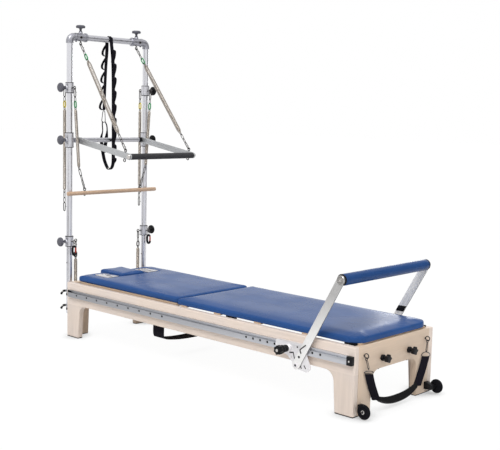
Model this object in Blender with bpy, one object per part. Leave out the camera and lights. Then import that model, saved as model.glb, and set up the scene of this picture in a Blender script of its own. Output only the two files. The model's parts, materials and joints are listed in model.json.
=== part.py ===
"""Pilates reformer with a spring tower on its head end and a conversion mat over its spring well.

Metres, +Z up. X runs from the head end, where the tower stands, to the foot end with the footbar.
Left is -Y and right is +Y. Pieces are first placed from the head end's outer face at x = 0, and the
finished object is then moved so that the centre of its footprint is over the origin.
"""

import math

import bmesh
import bpy
from mathutils import Matrix, Vector

LEFT = -1
RIGHT = 1
SIDES = {"left": LEFT, "right": RIGHT}

# Clearances
TOUCH = 0.0003
RUNNING = 0.0005
TUBE_FIT = 0.0004

# Timber frame
FRAME_LENGTH = 2.28
FRAME_WIDTH = 0.69
FRAME_TOP = 0.349
BOARD_DEPTH = 0.138
TIMBER = 0.036
SIDE_LEG_FOOT = 0.114
SIDE_LEG_TOP = 0.130
END_LEG_FOOT = 0.142
END_LEG_TOP = 0.150
ARCH_RADIUS = 0.055
EDGE_ROUND = 0.003
BOARD_BOTTOM = FRAME_TOP - BOARD_DEPTH
HALF_WIDTH = FRAME_WIDTH / 2
INNER_HALF = HALF_WIDTH - TIMBER

# Outer slide rails
RAIL_HEIGHT = 0.0445
RAIL_MIDDLE = 0.2835
RAIL_DEPTH = 0.0175
RAIL_BACK = 0.005
RAIL_LIP = 0.003
RAIL_STEP = 0.030
RAIL_HEAD_MARGIN = 0.030
RAIL_FOOT_MARGIN = 0.0015
RAIL_STOP_LENGTH = 0.034
RAIL_STOP_PROUD = 0.005
RAIL_HOLE_RADIUS = 0.0042
RAIL_HOLE_DEPTH = 0.010
HEAD_HOLE_START = 0.121
HEAD_HOLE_PITCH = 0.100
HEAD_HOLE_COUNT = 9
FOOT_HOLE_START = 1.582
FOOT_HOLE_PITCH = 0.050
FOOT_HOLE_COUNT = 11
RAIL_BOTTOM = RAIL_MIDDLE - RAIL_HEIGHT / 2
RAIL_TOP = RAIL_MIDDLE + RAIL_HEIGHT / 2
HOLE_LINE = RAIL_BOTTOM + 0.0195

# Carriage: deck, running wheels, ledges, upholstery
CARRIAGE_START = 0.062
CARRIAGE_END = 0.985
CARRIAGE_HALF_WIDTH = 0.303
DECK_INSET = 0.012
DECK_THICKNESS = 0.018
DECK_TOP = 0.3567
DECK_SIDE_GAP = 0.012
PAD_THICKNESS = 0.040
PAD_CROWN = 0.004
PAD_EDGE = 0.010
PAD_CORNER = 0.014
WHEEL_RADIUS = 0.022
WHEEL_WIDTH = 0.018
WHEEL_AXLE_RADIUS = 0.004
WHEEL_WALL_GAP = 0.0075
WHEEL_INSET = 0.16
WHEEL_AXLE_DROP = 0.0385
LEDGE_DEPTH = 0.045
LEDGE_THICKNESS = 0.015
LEDGE_MARGIN = 0.14
HANGER_WIDTH = 0.018
HANGER_LENGTH = 0.060
SOCKET_START = 0.110
SOCKET_LENGTH = 0.136
SOCKET_INNER = 0.122
SOCKET_WIDTH = 0.092
SOCKET_FIT = 0.0015
WHEEL_AXLE_HEIGHT = DECK_TOP - DECK_THICKNESS - WHEEL_AXLE_DROP
LEDGE_TOP = WHEEL_AXLE_HEIGHT - WHEEL_RADIUS - RUNNING
PAD_BOTTOM = DECK_TOP + TOUCH
PAD_TOP = PAD_BOTTOM + PAD_THICKNESS

# Headrest
HEADREST_OVERHANG = 0.044
HEADREST_LENGTH = 0.232
HEADREST_HALF_WIDTH = 0.095
HEADREST_PROUD = 0.011
HEADREST_FIT = 0.003

# Conversion mat
MAT_GAP = 0.005
MAT_HALF_WIDTH = 0.322
MAT_THICKNESS = 0.040
MAT_BOARD_THICKNESS = 0.012
MAT_BOARD_INSET = 0.004
MAT_SPACER_HEIGHT = 0.0085
MAT_SPACER_LENGTH = 0.050
MAT_SPACER_WIDTH = 0.022
MAT_SPACER_SHARES = (0.027, 0.233, 0.465, 0.721, 0.930)
MAT_FOOT_CORNER = 0.052
MAT_BOTTOM = FRAME_TOP + TOUCH + MAT_SPACER_HEIGHT
MAT_START = CARRIAGE_END + MAT_GAP
MAT_END = FRAME_LENGTH

# Footbar
PLATE_THICKNESS = 0.005
PLATE_RAIL_GAP = 0.002
SADDLE_THICKNESS = 0.006
SADDLE_GAP = 0.0007
PLUNGER_HOLE = 6
PIVOT_AHEAD = 0.058
PIVOT_HEIGHT = 0.202
PIVOT_PIN_RADIUS = 0.008
PIVOT_HEAD_RADIUS = 0.013
PIVOT_HEAD_THICKNESS = 0.005
FOOTBAR_LENGTH = 0.5386
FOOTBAR_LEAN = 29.2
ARM_WIDTH = 0.045
ARM_THICKNESS = 0.007
ARM_GAP = 0.001
FOOTBAR_TUBE_RADIUS = 0.016
FOOTBAR_GRIP_RADIUS = 0.0285
FOOTBAR_CAP_RADIUS = 0.0275
FOOTBAR_CAP_THICKNESS = 0.008
PLUNGER_BOSS_RADIUS = 0.0215
PLUNGER_BOSS_LENGTH = 0.015
PLUNGER_PIN_RADIUS = 0.004
PLUNGER_SLEEVE_RADIUS = 0.012
PLUNGER_SLEEVE_LENGTH = 0.032
PLUNGER_KNOB_RADIUS = 0.0175
PLUNGER_KNOB_LENGTH = 0.045
PLATE_INNER = HALF_WIDTH + RAIL_DEPTH + PLATE_RAIL_GAP
PLATE_OUTER = PLATE_INNER + PLATE_THICKNESS
ARM_INNER = PLATE_OUTER + ARM_GAP
ARM_OUTER = ARM_INNER + ARM_THICKNESS
PLUNGER_X = FOOT_HOLE_START + PLUNGER_HOLE * FOOT_HOLE_PITCH
PIVOT_X = PLUNGER_X + PIVOT_AHEAD

# Tower tubes and fittings
TUBE_RADIUS = 0.019
TUBE_WALL = 0.0025
UPRIGHT_SET_BACK = 0.0228
UPRIGHT_HALF_SPACING = 0.3125
UPRIGHT_BOTTOM = 0.142
TOP_TUBE_HEIGHT = 1.896
ELBOW_RADIUS = 0.0235
ELBOW_BEND = 0.030
ELBOW_SOCKET = 0.010
UPRIGHT_X = -UPRIGHT_SET_BACK
CLAMP_LEVELS = (0.193, 0.287)
CLAMP_HEIGHT = 0.030
CLAMP_HALF_WIDTH = 0.0265
CLAMP_DEPTH = 0.0495
CLAMP_STRIP = 0.003
CLAMP_STRIP_HALF = 0.0165
LEVER_LENGTH = 0.034
LEVER_RADIUS = 0.0045

# Collars on the uprights
COLLAR_RADIUS = 0.028
COLLAR_HEIGHT = 0.060
SPRING_COLLAR_HEIGHT_ABOVE_FLOOR = 1.579
BAR_COLLAR_HEIGHT = 0.088
BAR_COLLAR_ABOVE_FLOOR = 1.252
LOWER_COLLAR_LEFT = 0.608
LOWER_COLLAR_RIGHT = 0.632
BOSS_RADIUS = 0.013
BOSS_REACH = 0.034
KNOB_RADIUS = 0.0295
KNOB_THICKNESS = 0.020
KNOB_REACH = 0.060
KNOB_STEM_RADIUS = 0.0075
KNOB_SCREW_RADIUS = 0.004
KNOB_SCREW_DEPTH = 0.010
KNOB_SCREW_FIT = 0.0007
EYE_RADIUS = 0.0085
EYE_WIRE = 0.0025
EYE_REACH = 0.052
EYE_SHANK = 0.003
LOWER_EYE_REACH = 0.050

# Sleeves on the top tube
SLEEVE_RADIUS = 0.026
SLEEVE_LENGTH = 0.086
SLEEVE_GAP = 0.0005
SLEEVE_KNOB_RISE = 0.056
SLEEVE_EYE_DROP = 0.040
SLEEVE_HALF_SPACING = UPRIGHT_HALF_SPACING - ELBOW_BEND - ELBOW_SOCKET - SLEEVE_GAP - SLEEVE_LENGTH / 2

# Push-through bar
PUSH_PIVOT_FORWARD = 0.0248
PUSH_TUBE_RADIUS = 0.0125
PUSH_ARM_THICKNESS = 0.008
PUSH_ARM_HEIGHT = 0.038
PUSH_ARM_MIDDLE = 0.262
PUSH_BAR_REACH = 0.507
PUSH_BAR_DROP = 9.1
PUSH_ROD_RADIUS = 0.0135
PUSH_ROD_HALF = 0.275
PUSH_GRIP_RADIUS = 0.0185
PUSH_PIN_RADIUS = 0.007
PUSH_PIN_DEPTH = 0.022
PUSH_BUSH_RADIUS = 0.0155
PUSH_EYE_BACK = 0.042
PUSH_X = UPRIGHT_X + PUSH_PIVOT_FORWARD

# Springs
HOOK_CLEARANCE = 0.0011
SPRING_WIRE = 0.0021
POINTS_PER_CURL = 8
TOP_SPRING_RADIUS = 0.0135
TOP_SPRING_CURLS = 6
SLIM_SPRING_RADIUS = 0.0105
ROLL_DOWN_CURLS = 5
HANGING_CURLS = 5
LOWER_SPRING_RADIUS = 0.0115
LOWER_CURLS = 5
ROLL_DOWN_TOP = 1.446
ROLL_DOWN_BOTTOM = 1.080
HANGING_TOP = 1.447
HANGING_BOTTOM = 0.930
HANGING_HOOK_END = 0.790
LOWER_TOP_DROP = 0.115
LOWER_SPRING_LENGTH = 0.370
LOWER_HOOK_LENGTH = 0.050

# Roll-down bar
DOWEL_RADIUS = 0.013
DOWEL_HALF_LENGTH = 0.365
DOWEL_HEIGHT = 0.917
DOWEL_EYE_PLACE = 0.2325
DOWEL_EYE_RISE = 0.024
ROLL_DOWN_COIL_SHARES = (0.081, 0.431)

# Webbing
LOOP_WIDTH = 0.026
LOOP_THICKNESS = 0.004
LOOP_FRONT = 0.021
LOOP_BACK = -0.047
LOOP_BOTTOM = 1.066
LOOP_PAD_WIDTH = 0.052
LOOP_PAD_TOP = 1.30
WELL_STRAP_START = 0.786
WELL_STRAP_WIDTH = 0.095
WELL_STRAP_THICKNESS = 0.003
WELL_STRAP_CORNER = 0.130
WELL_STRAP_MIDDLE = 0.106
WELL_STRAP_TOP = 0.255

# Foot end hardware
FOOT_EYE_PLACE = 0.271
FOOT_EYE_HEIGHT = 0.300
FOOT_EYE_OUT = 0.0145
STRAP_WIDTH = 0.040
STRAP_THICKNESS = 0.005
STRAP_TOP = 0.208
STRAP_TOP_PLACE = 0.252
STRAP_CORNER_PLACE = 0.186
STRAP_CORNER_HEIGHT = 0.072
STRAP_MIDDLE_HEIGHT = 0.034
STRAP_OUT = 0.020
STAR_KNOB_PLACE = 0.118
STAR_KNOB_HEIGHT = 0.264
STAR_KNOB_RADIUS = 0.019
STAR_KNOB_LENGTH = 0.046
TRANSPORT_WHEEL_RADIUS = 0.0375
TRANSPORT_WHEEL_WIDTH = 0.022
TRANSPORT_WHEEL_OUT = 0.050
TRANSPORT_WHEEL_HEIGHT = 0.040
TRANSPORT_WHEEL_PLACE = 0.325
TRANSPORT_AXLE_RADIUS = 0.006
BRACKET_WIDTH = 0.030
BRACKET_HEIGHT = 0.062


def finish(name, colour, roughness, metallic):
    """A plain material with the piece's colour, roughness and metal value."""
    material = bpy.data.materials.new(name)
    material.use_nodes = True
    shader = material.node_tree.nodes["Principled BSDF"]
    shader.inputs["Base Color"].default_value = (*colour, 1.0)
    shader.inputs["Roughness"].default_value = roughness
    shader.inputs["Metallic"].default_value = metallic
    return material


def clear_scene():
    for obj in list(bpy.data.objects):
        bpy.data.objects.remove(obj, do_unlink=True)


def keep(name, shape, material=None, angle=35.0):
    """Turns a bmesh into a named object, smooth over its round faces."""
    bmesh.ops.recalc_face_normals(shape, faces=shape.faces)
    mesh = bpy.data.meshes.new(name)
    shape.to_mesh(mesh)
    shape.free()
    return keep_mesh(name, mesh, material, angle)


def keep_mesh(name, mesh, material=None, angle=35.0):
    mesh.shade_smooth()
    mesh.set_sharp_from_angle(angle=math.radians(angle))
    if material:
        mesh.materials.clear()
        mesh.materials.append(material)
    obj = bpy.data.objects.new(name, mesh)
    bpy.context.scene.collection.objects.link(obj)
    return obj


def block(low, high):
    """A box between two corners."""
    shape = bmesh.new()
    bmesh.ops.create_cube(shape, size=1.0)
    for vert in shape.verts:
        vert.co = Vector(low[i] + (vert.co[i] + 0.5) * (high[i] - low[i]) for i in range(3))
    return shape


def mirrored_block(side, x_range, y_range, z_range):
    """A box given by its distances from the middle plane, on one side of it."""
    near, far = sorted((side * y_range[0], side * y_range[1]))
    return block((x_range[0], near, z_range[0]), (x_range[1], far, z_range[1]))


def rounded(points, radii, steps=5):
    """A closed outline whose corners are arcs; a radius of 0 leaves a corner sharp."""
    outline = []
    count = len(points)
    for i, (point, radius) in enumerate(zip(points, radii)):
        here = Vector(point)
        if radius <= 0:
            outline.append(here)
            continue
        before = (Vector(points[i - 1]) - here).normalized()
        after = (Vector(points[(i + 1) % count]) - here).normalized()
        half = before.angle(after) / 2
        reach = radius / math.tan(half)
        centre = here + (before + after).normalized() * (radius / math.sin(half))
        first = here + before * reach - centre
        last = here + after * reach - centre
        turn = first.angle_signed(last)
        for step in range(steps + 1):
            angle = -turn * step / steps
            spun = Matrix.Rotation(angle, 2) @ first
            outline.append(centre + spun)
    return outline


def circle(centre, radius, sides, start=0.0):
    return [
        Vector((centre[0] + radius * math.cos(start + math.tau * i / sides),
                centre[1] + radius * math.sin(start + math.tau * i / sides)))
        for i in range(sides)
    ]


def slab(outline, axis, low, high):
    """A flat outline extruded along X, Y or Z. The outline is in the two other axes, in XYZ order."""
    shape = bmesh.new()

    def lifted(point, height):
        if axis == "X":
            return (height, point[0], point[1])
        if axis == "Y":
            return (point[0], height, point[1])
        return (point[0], point[1], height)

    base = shape.faces.new([shape.verts.new(lifted(point, low)) for point in outline])
    grown = bmesh.ops.extrude_face_region(shape, geom=[base])
    moved = [item for item in grown["geom"] if isinstance(item, bmesh.types.BMVert)]
    travel = Vector(lifted((0, 0), high)) - Vector(lifted((0, 0), low))
    bmesh.ops.translate(shape, verts=moved, vec=travel)
    return shape


def soften(shape, width, steps=1, least=30.0):
    """Rounds the sharp edges of a bmesh."""
    bmesh.ops.recalc_face_normals(shape, faces=shape.faces)
    edges = [e for e in shape.edges if e.calc_face_angle(0.0) > math.radians(least)]
    bmesh.ops.bevel(shape, geom=edges, offset=width, segments=steps, affect="EDGES", profile=0.5)
    return shape


def turned(profile, base, direction, sides=16):
    """A round solid: (distance along, radius) points turned about an axis through base."""
    axis = Vector(direction).normalized()
    turn = Vector((0, 0, 1)).rotation_difference(axis).to_matrix().to_4x4()
    place = Matrix.Translation(Vector(base)) @ turn
    shape = bmesh.new()
    rings = []
    for along, radius in profile:
        points = [Vector((*p, along)) for p in circle((0, 0), radius, sides)]
        rings.append([shape.verts.new(place @ p) for p in points])
    for low, high in zip(rings, rings[1:]):
        for i in range(sides):
            j = (i + 1) % sides
            shape.faces.new((low[i], low[j], high[j], high[i]))
    shape.faces.new(rings[0])
    shape.faces.new(rings[-1])
    return shape


def rod(start, end, radius, sides=12):
    travel = Vector(end) - Vector(start)
    return turned(((0, radius), (travel.length, radius)), start, travel, sides)


def swept(line, radius, sides):
    """A round bar along a flat chain of points in a plane square to X."""
    shape = bmesh.new()
    across = Vector((1, 0, 0))
    rings = []
    for i, point in enumerate(line):
        before = line[max(i - 1, 0)]
        after = line[min(i + 1, len(line) - 1)]
        up = (after - before).normalized().cross(across)
        rings.append([
            shape.verts.new(point + across * offset.x + up * offset.y)
            for offset in circle((0, 0), radius, sides)
        ])
    for low, high in zip(rings, rings[1:]):
        for i in range(sides):
            j = (i + 1) % sides
            shape.faces.new((low[i], low[j], high[j], high[i]))
    shape.faces.new(rings[0])
    shape.faces.new(rings[-1])
    return shape


def ring(centre, normal, radius, wire, steps=8, sides=4):
    """A closed round ring of wire."""
    axis = Vector(normal).normalized()
    turn = Vector((0, 0, 1)).rotation_difference(axis).to_matrix()
    shape = bmesh.new()
    loops = []
    for i in range(steps):
        angle = math.tau * i / steps
        out = Vector((math.cos(angle), math.sin(angle), 0))
        loop = []
        for j in range(sides):
            lean = math.tau * j / sides
            point = out * (radius + wire * math.cos(lean)) + Vector((0, 0, wire * math.sin(lean)))
            loop.append(shape.verts.new(Vector(centre) + turn @ point))
        loops.append(loop)
    for i in range(steps):
        here, after = loops[i], loops[(i + 1) % steps]
        for j in range(sides):
            k = (j + 1) % sides
            shape.faces.new((here[j], here[k], after[k], after[j]))
    return shape


def boolean(obj, shape, operation):
    """Joins a shape to an object, or cuts it away, with the exact solver."""
    tool = keep("tool", shape)
    modifier = obj.modifiers.new("join", "BOOLEAN")
    modifier.operation = operation
    modifier.solver = "EXACT"
    modifier.object = tool
    graph = bpy.context.evaluated_depsgraph_get()
    graph.update()
    made = bpy.data.meshes.new_from_object(obj.evaluated_get(graph))
    obj.modifiers.clear()
    old = obj.data
    obj.data = made
    bpy.data.meshes.remove(old)
    bpy.data.objects.remove(tool, do_unlink=True)


def solid(name, material, shapes, cuts=(), angle=35.0):
    """One closed body: the first shape, joined by the others and then cut."""
    body = keep(name, shapes[0])
    for shape in shapes[1:]:
        boolean(body, shape, "UNION")
    for shape in cuts:
        boolean(body, shape, "DIFFERENCE")
    mesh = body.data
    mesh.shade_smooth()
    mesh.set_sharp_from_angle(angle=math.radians(angle))
    mesh.materials.clear()
    mesh.materials.append(material)
    mesh.name = name
    return body


def wire_path(name, points, radius, material):
    """A closed tube of round wire along a chain of points."""
    curve = bpy.data.curves.new(name, "CURVE")
    curve.dimensions = "3D"
    curve.bevel_depth = radius
    curve.bevel_resolution = 1
    curve.use_fill_caps = True
    spline = curve.splines.new("POLY")
    spline.points.add(len(points) - 1)
    for target, point in zip(spline.points, points):
        target.co = (*point, 1.0)
    curve.materials.append(material)
    obj = bpy.data.objects.new(name, curve)
    bpy.context.scene.collection.objects.link(obj)
    return obj


def hang(obj, pivot):
    """Parents an object to a pivot empty without moving it."""
    obj.parent = pivot
    obj.matrix_parent_inverse = Matrix.Translation(-world_place(pivot))


def world_place(empty):
    place = Vector(empty.location)
    while empty.parent:
        empty = empty.parent
        place += empty.location
    return place


def pivot_at(name, place, parent):
    """An empty on a joint's axis, which carries the pieces that move together."""
    empty = bpy.data.objects.new(name, None)
    empty.empty_display_size = 0.05
    bpy.context.scene.collection.objects.link(empty)
    empty.parent = parent
    empty.location = Vector(place) - world_place(parent)
    return empty


def centre_origin(obj, place):
    """Moves an object's origin to a point on its own axis, with its shape left where it is."""
    shift = Vector(place)
    if obj.type == "MESH":
        obj.data.transform(Matrix.Translation(-shift))
    obj.location = shift


def side_frame(side):
    """A side board on its two legs, with the ledge that the carriage wheels run on."""
    arch_height = BOARD_BOTTOM
    outline = [
        (0, 0),
        (SIDE_LEG_FOOT, 0),
        (SIDE_LEG_TOP, arch_height),
        (FRAME_LENGTH - SIDE_LEG_TOP, arch_height),
        (FRAME_LENGTH - SIDE_LEG_FOOT, 0),
        (FRAME_LENGTH, 0),
        (FRAME_LENGTH, FRAME_TOP),
        (0, FRAME_TOP),
    ]
    radii = [0, 0, ARCH_RADIUS, ARCH_RADIUS, 0, 0, 0, 0]
    board = slab(rounded(outline, radii), "Y", *sorted((side * INNER_HALF, side * HALF_WIDTH)))
    soften(board, EDGE_ROUND)
    ledge = mirrored_block(
        side,
        (LEDGE_MARGIN, FRAME_LENGTH - LEDGE_MARGIN),
        (INNER_HALF - LEDGE_DEPTH, INNER_HALF + TIMBER / 2),
        (LEDGE_TOP - LEDGE_THICKNESS, LEDGE_TOP),
    )
    return [board, ledge]


def end_frame_outline():
    half = INNER_HALF - TOUCH
    foot = HALF_WIDTH - END_LEG_FOOT
    top = HALF_WIDTH - END_LEG_TOP
    outline = [
        (-half, 0),
        (-foot, 0),
        (-top, BOARD_BOTTOM),
        (top, BOARD_BOTTOM),
        (foot, 0),
        (half, 0),
        (half, FRAME_TOP),
        (-half, FRAME_TOP),
    ]
    return rounded(outline, [0, 0, ARCH_RADIUS, ARCH_RADIUS, 0, 0, 0, 0])


def eye_bolt(base, direction, reach, ring_normal):
    """An eye on a shank: the ring's centre is at the given reach from the base."""
    axis = Vector(direction).normalized()
    centre = Vector(base) + axis * reach
    shank = rod(base, centre - axis * (EYE_RADIUS - EYE_WIRE / 2), EYE_SHANK, 6)
    return [shank, ring(centre, ring_normal, EYE_RADIUS, EYE_WIRE)]


def wheel_bracket(side):
    """The block on a foot leg that holds a transport wheel's axle, and the axle with its head."""
    middle = INNER_HALF - TOUCH * 2 - BRACKET_WIDTH / 2
    wall = FRAME_LENGTH
    axle_x = wall + TRANSPORT_WHEEL_OUT
    half = BRACKET_HEIGHT / 2
    low = TRANSPORT_WHEEL_HEIGHT - half / 2
    outline = [
        (wall - 0.004, low),
        (axle_x + 0.012, low),
        (axle_x + 0.012, TRANSPORT_WHEEL_HEIGHT + half / 2),
        (wall + 0.010, low + BRACKET_HEIGHT),
        (wall - 0.004, low + BRACKET_HEIGHT),
    ]
    shape = rounded(outline, [0, 0.012, 0.012, 0.006, 0], 2)
    reach = sorted((side * (middle - BRACKET_WIDTH / 2), side * (middle + BRACKET_WIDTH / 2)))
    hub = slab(shape, "Y", *reach)
    outer = TRANSPORT_WHEEL_PLACE + TRANSPORT_WHEEL_WIDTH / 2 + RUNNING * 2
    centre = (axle_x, side * middle, TRANSPORT_WHEEL_HEIGHT)
    profile = (
        (0, TRANSPORT_AXLE_RADIUS),
        (outer - middle, TRANSPORT_AXLE_RADIUS),
        (outer - middle, TRANSPORT_AXLE_RADIUS + 0.004),
        (outer - middle + 0.004, TRANSPORT_AXLE_RADIUS + 0.003),
    )
    return [hub, turned(profile, centre, (0, side, 0), 12)]


def build_frame(root, wood):
    for name, side in SIDES.items():
        piece = solid(f"side_frame_{name}", wood, side_frame(side))
        hang(piece, root)
    outline = end_frame_outline()
    head = soften(slab(outline, "X", 0, TIMBER), EDGE_ROUND / 2)
    hang(solid("head_frame", wood, [head]), root)
    foot = soften(slab(outline, "X", FRAME_LENGTH - TIMBER, FRAME_LENGTH), EDGE_ROUND / 2)
    shapes = [foot]
    for side in SIDES.values():
        shapes += wheel_bracket(side)
        base = (FRAME_LENGTH - TIMBER / 2, side * FOOT_EYE_PLACE, FOOT_EYE_HEIGHT)
        shapes += eye_bolt(base, (1, 0, 0), FOOT_EYE_OUT + TIMBER / 2, (0, 1, 0))
    hang(solid("foot_frame", wood, shapes), root)


def rail_outline(side):
    """Section of a slide rail in Y and Z: a back wall, a proud lower face and a thin top lip."""
    back = HALF_WIDTH + TOUCH
    web = back + RAIL_BACK
    face = HALF_WIDTH + RAIL_DEPTH
    points = [
        (back, RAIL_BOTTOM),
        (face, RAIL_BOTTOM),
        (face, RAIL_BOTTOM + RAIL_STEP),
        (web, RAIL_BOTTOM + RAIL_STEP),
        (web, RAIL_TOP - RAIL_LIP),
        (face - RAIL_LIP, RAIL_TOP - RAIL_LIP),
        (face - RAIL_LIP, RAIL_TOP),
        (back, RAIL_TOP),
    ]
    return [(side * y, z) for y, z in points]


def hole_places():
    head = [HEAD_HOLE_START + i * HEAD_HOLE_PITCH for i in range(HEAD_HOLE_COUNT)]
    foot = [FOOT_HOLE_START + i * FOOT_HOLE_PITCH for i in range(FOOT_HOLE_COUNT)]
    return head + foot


def build_rails(root, metal):
    for name, side in SIDES.items():
        end = FRAME_LENGTH - RAIL_FOOT_MARGIN
        rail = slab(rail_outline(side), "X", RAIL_HEAD_MARGIN, end)
        stop = mirrored_block(
            side,
            (end - RAIL_STOP_LENGTH, end),
            (HALF_WIDTH + TOUCH, HALF_WIDTH + RAIL_DEPTH + RAIL_STOP_PROUD),
            (RAIL_BOTTOM, RAIL_TOP),
        )
        face = HALF_WIDTH + RAIL_DEPTH
        drills = []
        for x in hole_places():
            start = (x, side * (face + 0.005), HOLE_LINE)
            finish_at = (x, side * (face - RAIL_HOLE_DEPTH), HOLE_LINE)
            drills.append(rod(start, finish_at, RAIL_HOLE_RADIUS, 5))
        hang(solid(f"slide_rail_{name}", metal, [rail, soften(stop, 0.002)], drills), root)


def axle_places():
    start = CARRIAGE_START + WHEEL_INSET
    end = CARRIAGE_END - WHEEL_INSET
    return {"head": start, "foot": end}


def wheel_centre(side):
    return side * (INNER_HALF - WHEEL_WALL_GAP - WHEEL_WIDTH / 2)


def build_deck(carriage, wood):
    low = DECK_TOP - DECK_THICKNESS
    half = INNER_HALF - DECK_SIDE_GAP
    corners = [
        (CARRIAGE_START + DECK_INSET, -half),
        (CARRIAGE_END - DECK_INSET, -half),
        (CARRIAGE_END - DECK_INSET, half),
        (CARRIAGE_START + DECK_INSET, half),
    ]
    shapes = [slab(rounded(corners, [0.01] * 4, 3), "Z", low, DECK_TOP)]
    for side in SIDES.values():
        middle = abs(wheel_centre(side))
        inner = middle - WHEEL_WIDTH / 2 - RUNNING - HANGER_WIDTH
        for x in axle_places().values():
            shapes.append(mirrored_block(
                side,
                (x - HANGER_LENGTH / 2, x + HANGER_LENGTH / 2),
                (inner, inner + HANGER_WIDTH),
                (WHEEL_AXLE_HEIGHT - 2 * WHEEL_AXLE_RADIUS, DECK_TOP - DECK_THICKNESS / 2),
            ))
            start = (x, side * (inner + HANGER_WIDTH / 2), WHEEL_AXLE_HEIGHT)
            end = (x, side * (middle + WHEEL_WIDTH / 2 + 0.002), WHEEL_AXLE_HEIGHT)
            shapes.append(rod(start, end, WHEEL_AXLE_RADIUS, 8))
        shapes.append(mirrored_block(
            side,
            (SOCKET_START, SOCKET_START + SOCKET_LENGTH),
            (SOCKET_INNER, SOCKET_INNER + SOCKET_WIDTH),
            (DECK_TOP - DECK_THICKNESS / 2, PAD_TOP),
        ))
    slots = [socket_slot(side) for side in SIDES.values()]
    hang(solid("carriage_deck", wood, shapes, slots), carriage)


def socket_slot(side):
    """The slot in a shoulder-rest socket plate that a rest's blade drops into."""
    middle = SOCKET_INNER + SOCKET_WIDTH / 2
    x = SOCKET_START + SOCKET_LENGTH * 0.68
    return mirrored_block(
        side,
        (x - 0.030, x + 0.030),
        (middle - 0.006, middle + 0.006),
        (DECK_TOP - DECK_THICKNESS / 3, PAD_TOP + 0.01),
    )


def rounded_plan(x_range, half_width, corners, steps=5):
    """Outline of a pad seen from above; corners are the head end's and the foot end's radius."""
    points = [
        (x_range[0], -half_width),
        (x_range[1], -half_width),
        (x_range[1], half_width),
        (x_range[0], half_width),
    ]
    head, foot = corners
    return rounded(points, [head, foot, foot, head], steps)


def upholstered(x_range, half_width, bottom, top, corners, edge, crown):
    """A firm pad: drawn in at its foot, rounded at its upper edge and crowned in the middle."""
    side_top = top - crown
    levels = (
        (0.002, bottom),
        (0.0, bottom + 0.006),
        (0.0, side_top - edge),
        (edge * 0.3, side_top - edge * 0.25),
        (edge, side_top),
        (edge * 6, top),
    )
    shape = bmesh.new()
    rings = []
    for inset, height in levels:
        span = (x_range[0] + inset, x_range[1] - inset)
        radii = [max(radius - inset * 0.6, 0.004) for radius in corners]
        plan = rounded_plan(span, half_width - inset, radii, 4)
        rings.append([shape.verts.new((point[0], point[1], height)) for point in plan])
    count = len(rings[0])
    for low, high in zip(rings, rings[1:]):
        for i in range(count):
            j = (i + 1) % count
            shape.faces.new((low[i], low[j], high[j], high[i]))
    shape.faces.new(rings[0])
    shape.faces.new(rings[-1])
    return shape


def build_pads(carriage, headrest, mat, vinyl):
    headrest_start = CARRIAGE_START - HEADREST_OVERHANG
    headrest_end = headrest_start + HEADREST_LENGTH
    pad = upholstered(
        (CARRIAGE_START, CARRIAGE_END), CARRIAGE_HALF_WIDTH, PAD_BOTTOM, PAD_TOP,
        (PAD_CORNER, PAD_CORNER), PAD_EDGE, PAD_CROWN,
    )
    notch = block(
        (headrest_start, -HEADREST_HALF_WIDTH - HEADREST_FIT, PAD_BOTTOM - 0.01),
        (headrest_end + HEADREST_FIT, HEADREST_HALF_WIDTH + HEADREST_FIT, PAD_TOP + 0.01),
    )
    cuts = [notch]
    for side in SIDES.values():
        cuts.append(mirrored_block(
            side,
            (SOCKET_START - SOCKET_FIT, SOCKET_START + SOCKET_LENGTH + SOCKET_FIT),
            (SOCKET_INNER - SOCKET_FIT, SOCKET_INNER + SOCKET_WIDTH + SOCKET_FIT),
            (PAD_BOTTOM - 0.01, PAD_TOP + 0.01),
        ))
    hang(solid("carriage_pad", vinyl, [pad], cuts, 50), carriage)
    rest = upholstered(
        (headrest_start, headrest_end), HEADREST_HALF_WIDTH, PAD_BOTTOM, PAD_TOP + HEADREST_PROUD,
        (PAD_CORNER, PAD_CORNER / 2), PAD_EDGE * 0.8, PAD_CROWN,
    )
    hang(solid("headrest", vinyl, [rest], (), 50), headrest)
    top = upholstered(
        (MAT_START, MAT_END), MAT_HALF_WIDTH, MAT_BOTTOM + MAT_BOARD_THICKNESS + TOUCH,
        MAT_BOTTOM + MAT_THICKNESS, (PAD_CORNER, MAT_FOOT_CORNER), PAD_EDGE, PAD_CROWN,
    )
    hang(solid("mat_pad", vinyl, [top], (), 50), mat)


def build_mat_board(mat, wood):
    plan = rounded_plan(
        (MAT_START + MAT_BOARD_INSET, MAT_END - MAT_BOARD_INSET),
        MAT_HALF_WIDTH - MAT_BOARD_INSET,
        (PAD_CORNER, MAT_FOOT_CORNER),
    )
    shapes = [slab(plan, "Z", MAT_BOTTOM, MAT_BOTTOM + MAT_BOARD_THICKNESS)]
    for side in SIDES.values():
        for share in MAT_SPACER_SHARES:
            x = MAT_START + (MAT_END - MAT_START) * share
            outer = MAT_HALF_WIDTH - MAT_BOARD_INSET * 2
            shapes.append(mirrored_block(
                side,
                (x, x + MAT_SPACER_LENGTH),
                (outer - MAT_SPACER_WIDTH, outer),
                (FRAME_TOP + TOUCH, MAT_BOTTOM + MAT_BOARD_THICKNESS / 2),
            ))
    hang(solid("mat_board", wood, shapes), mat)


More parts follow.
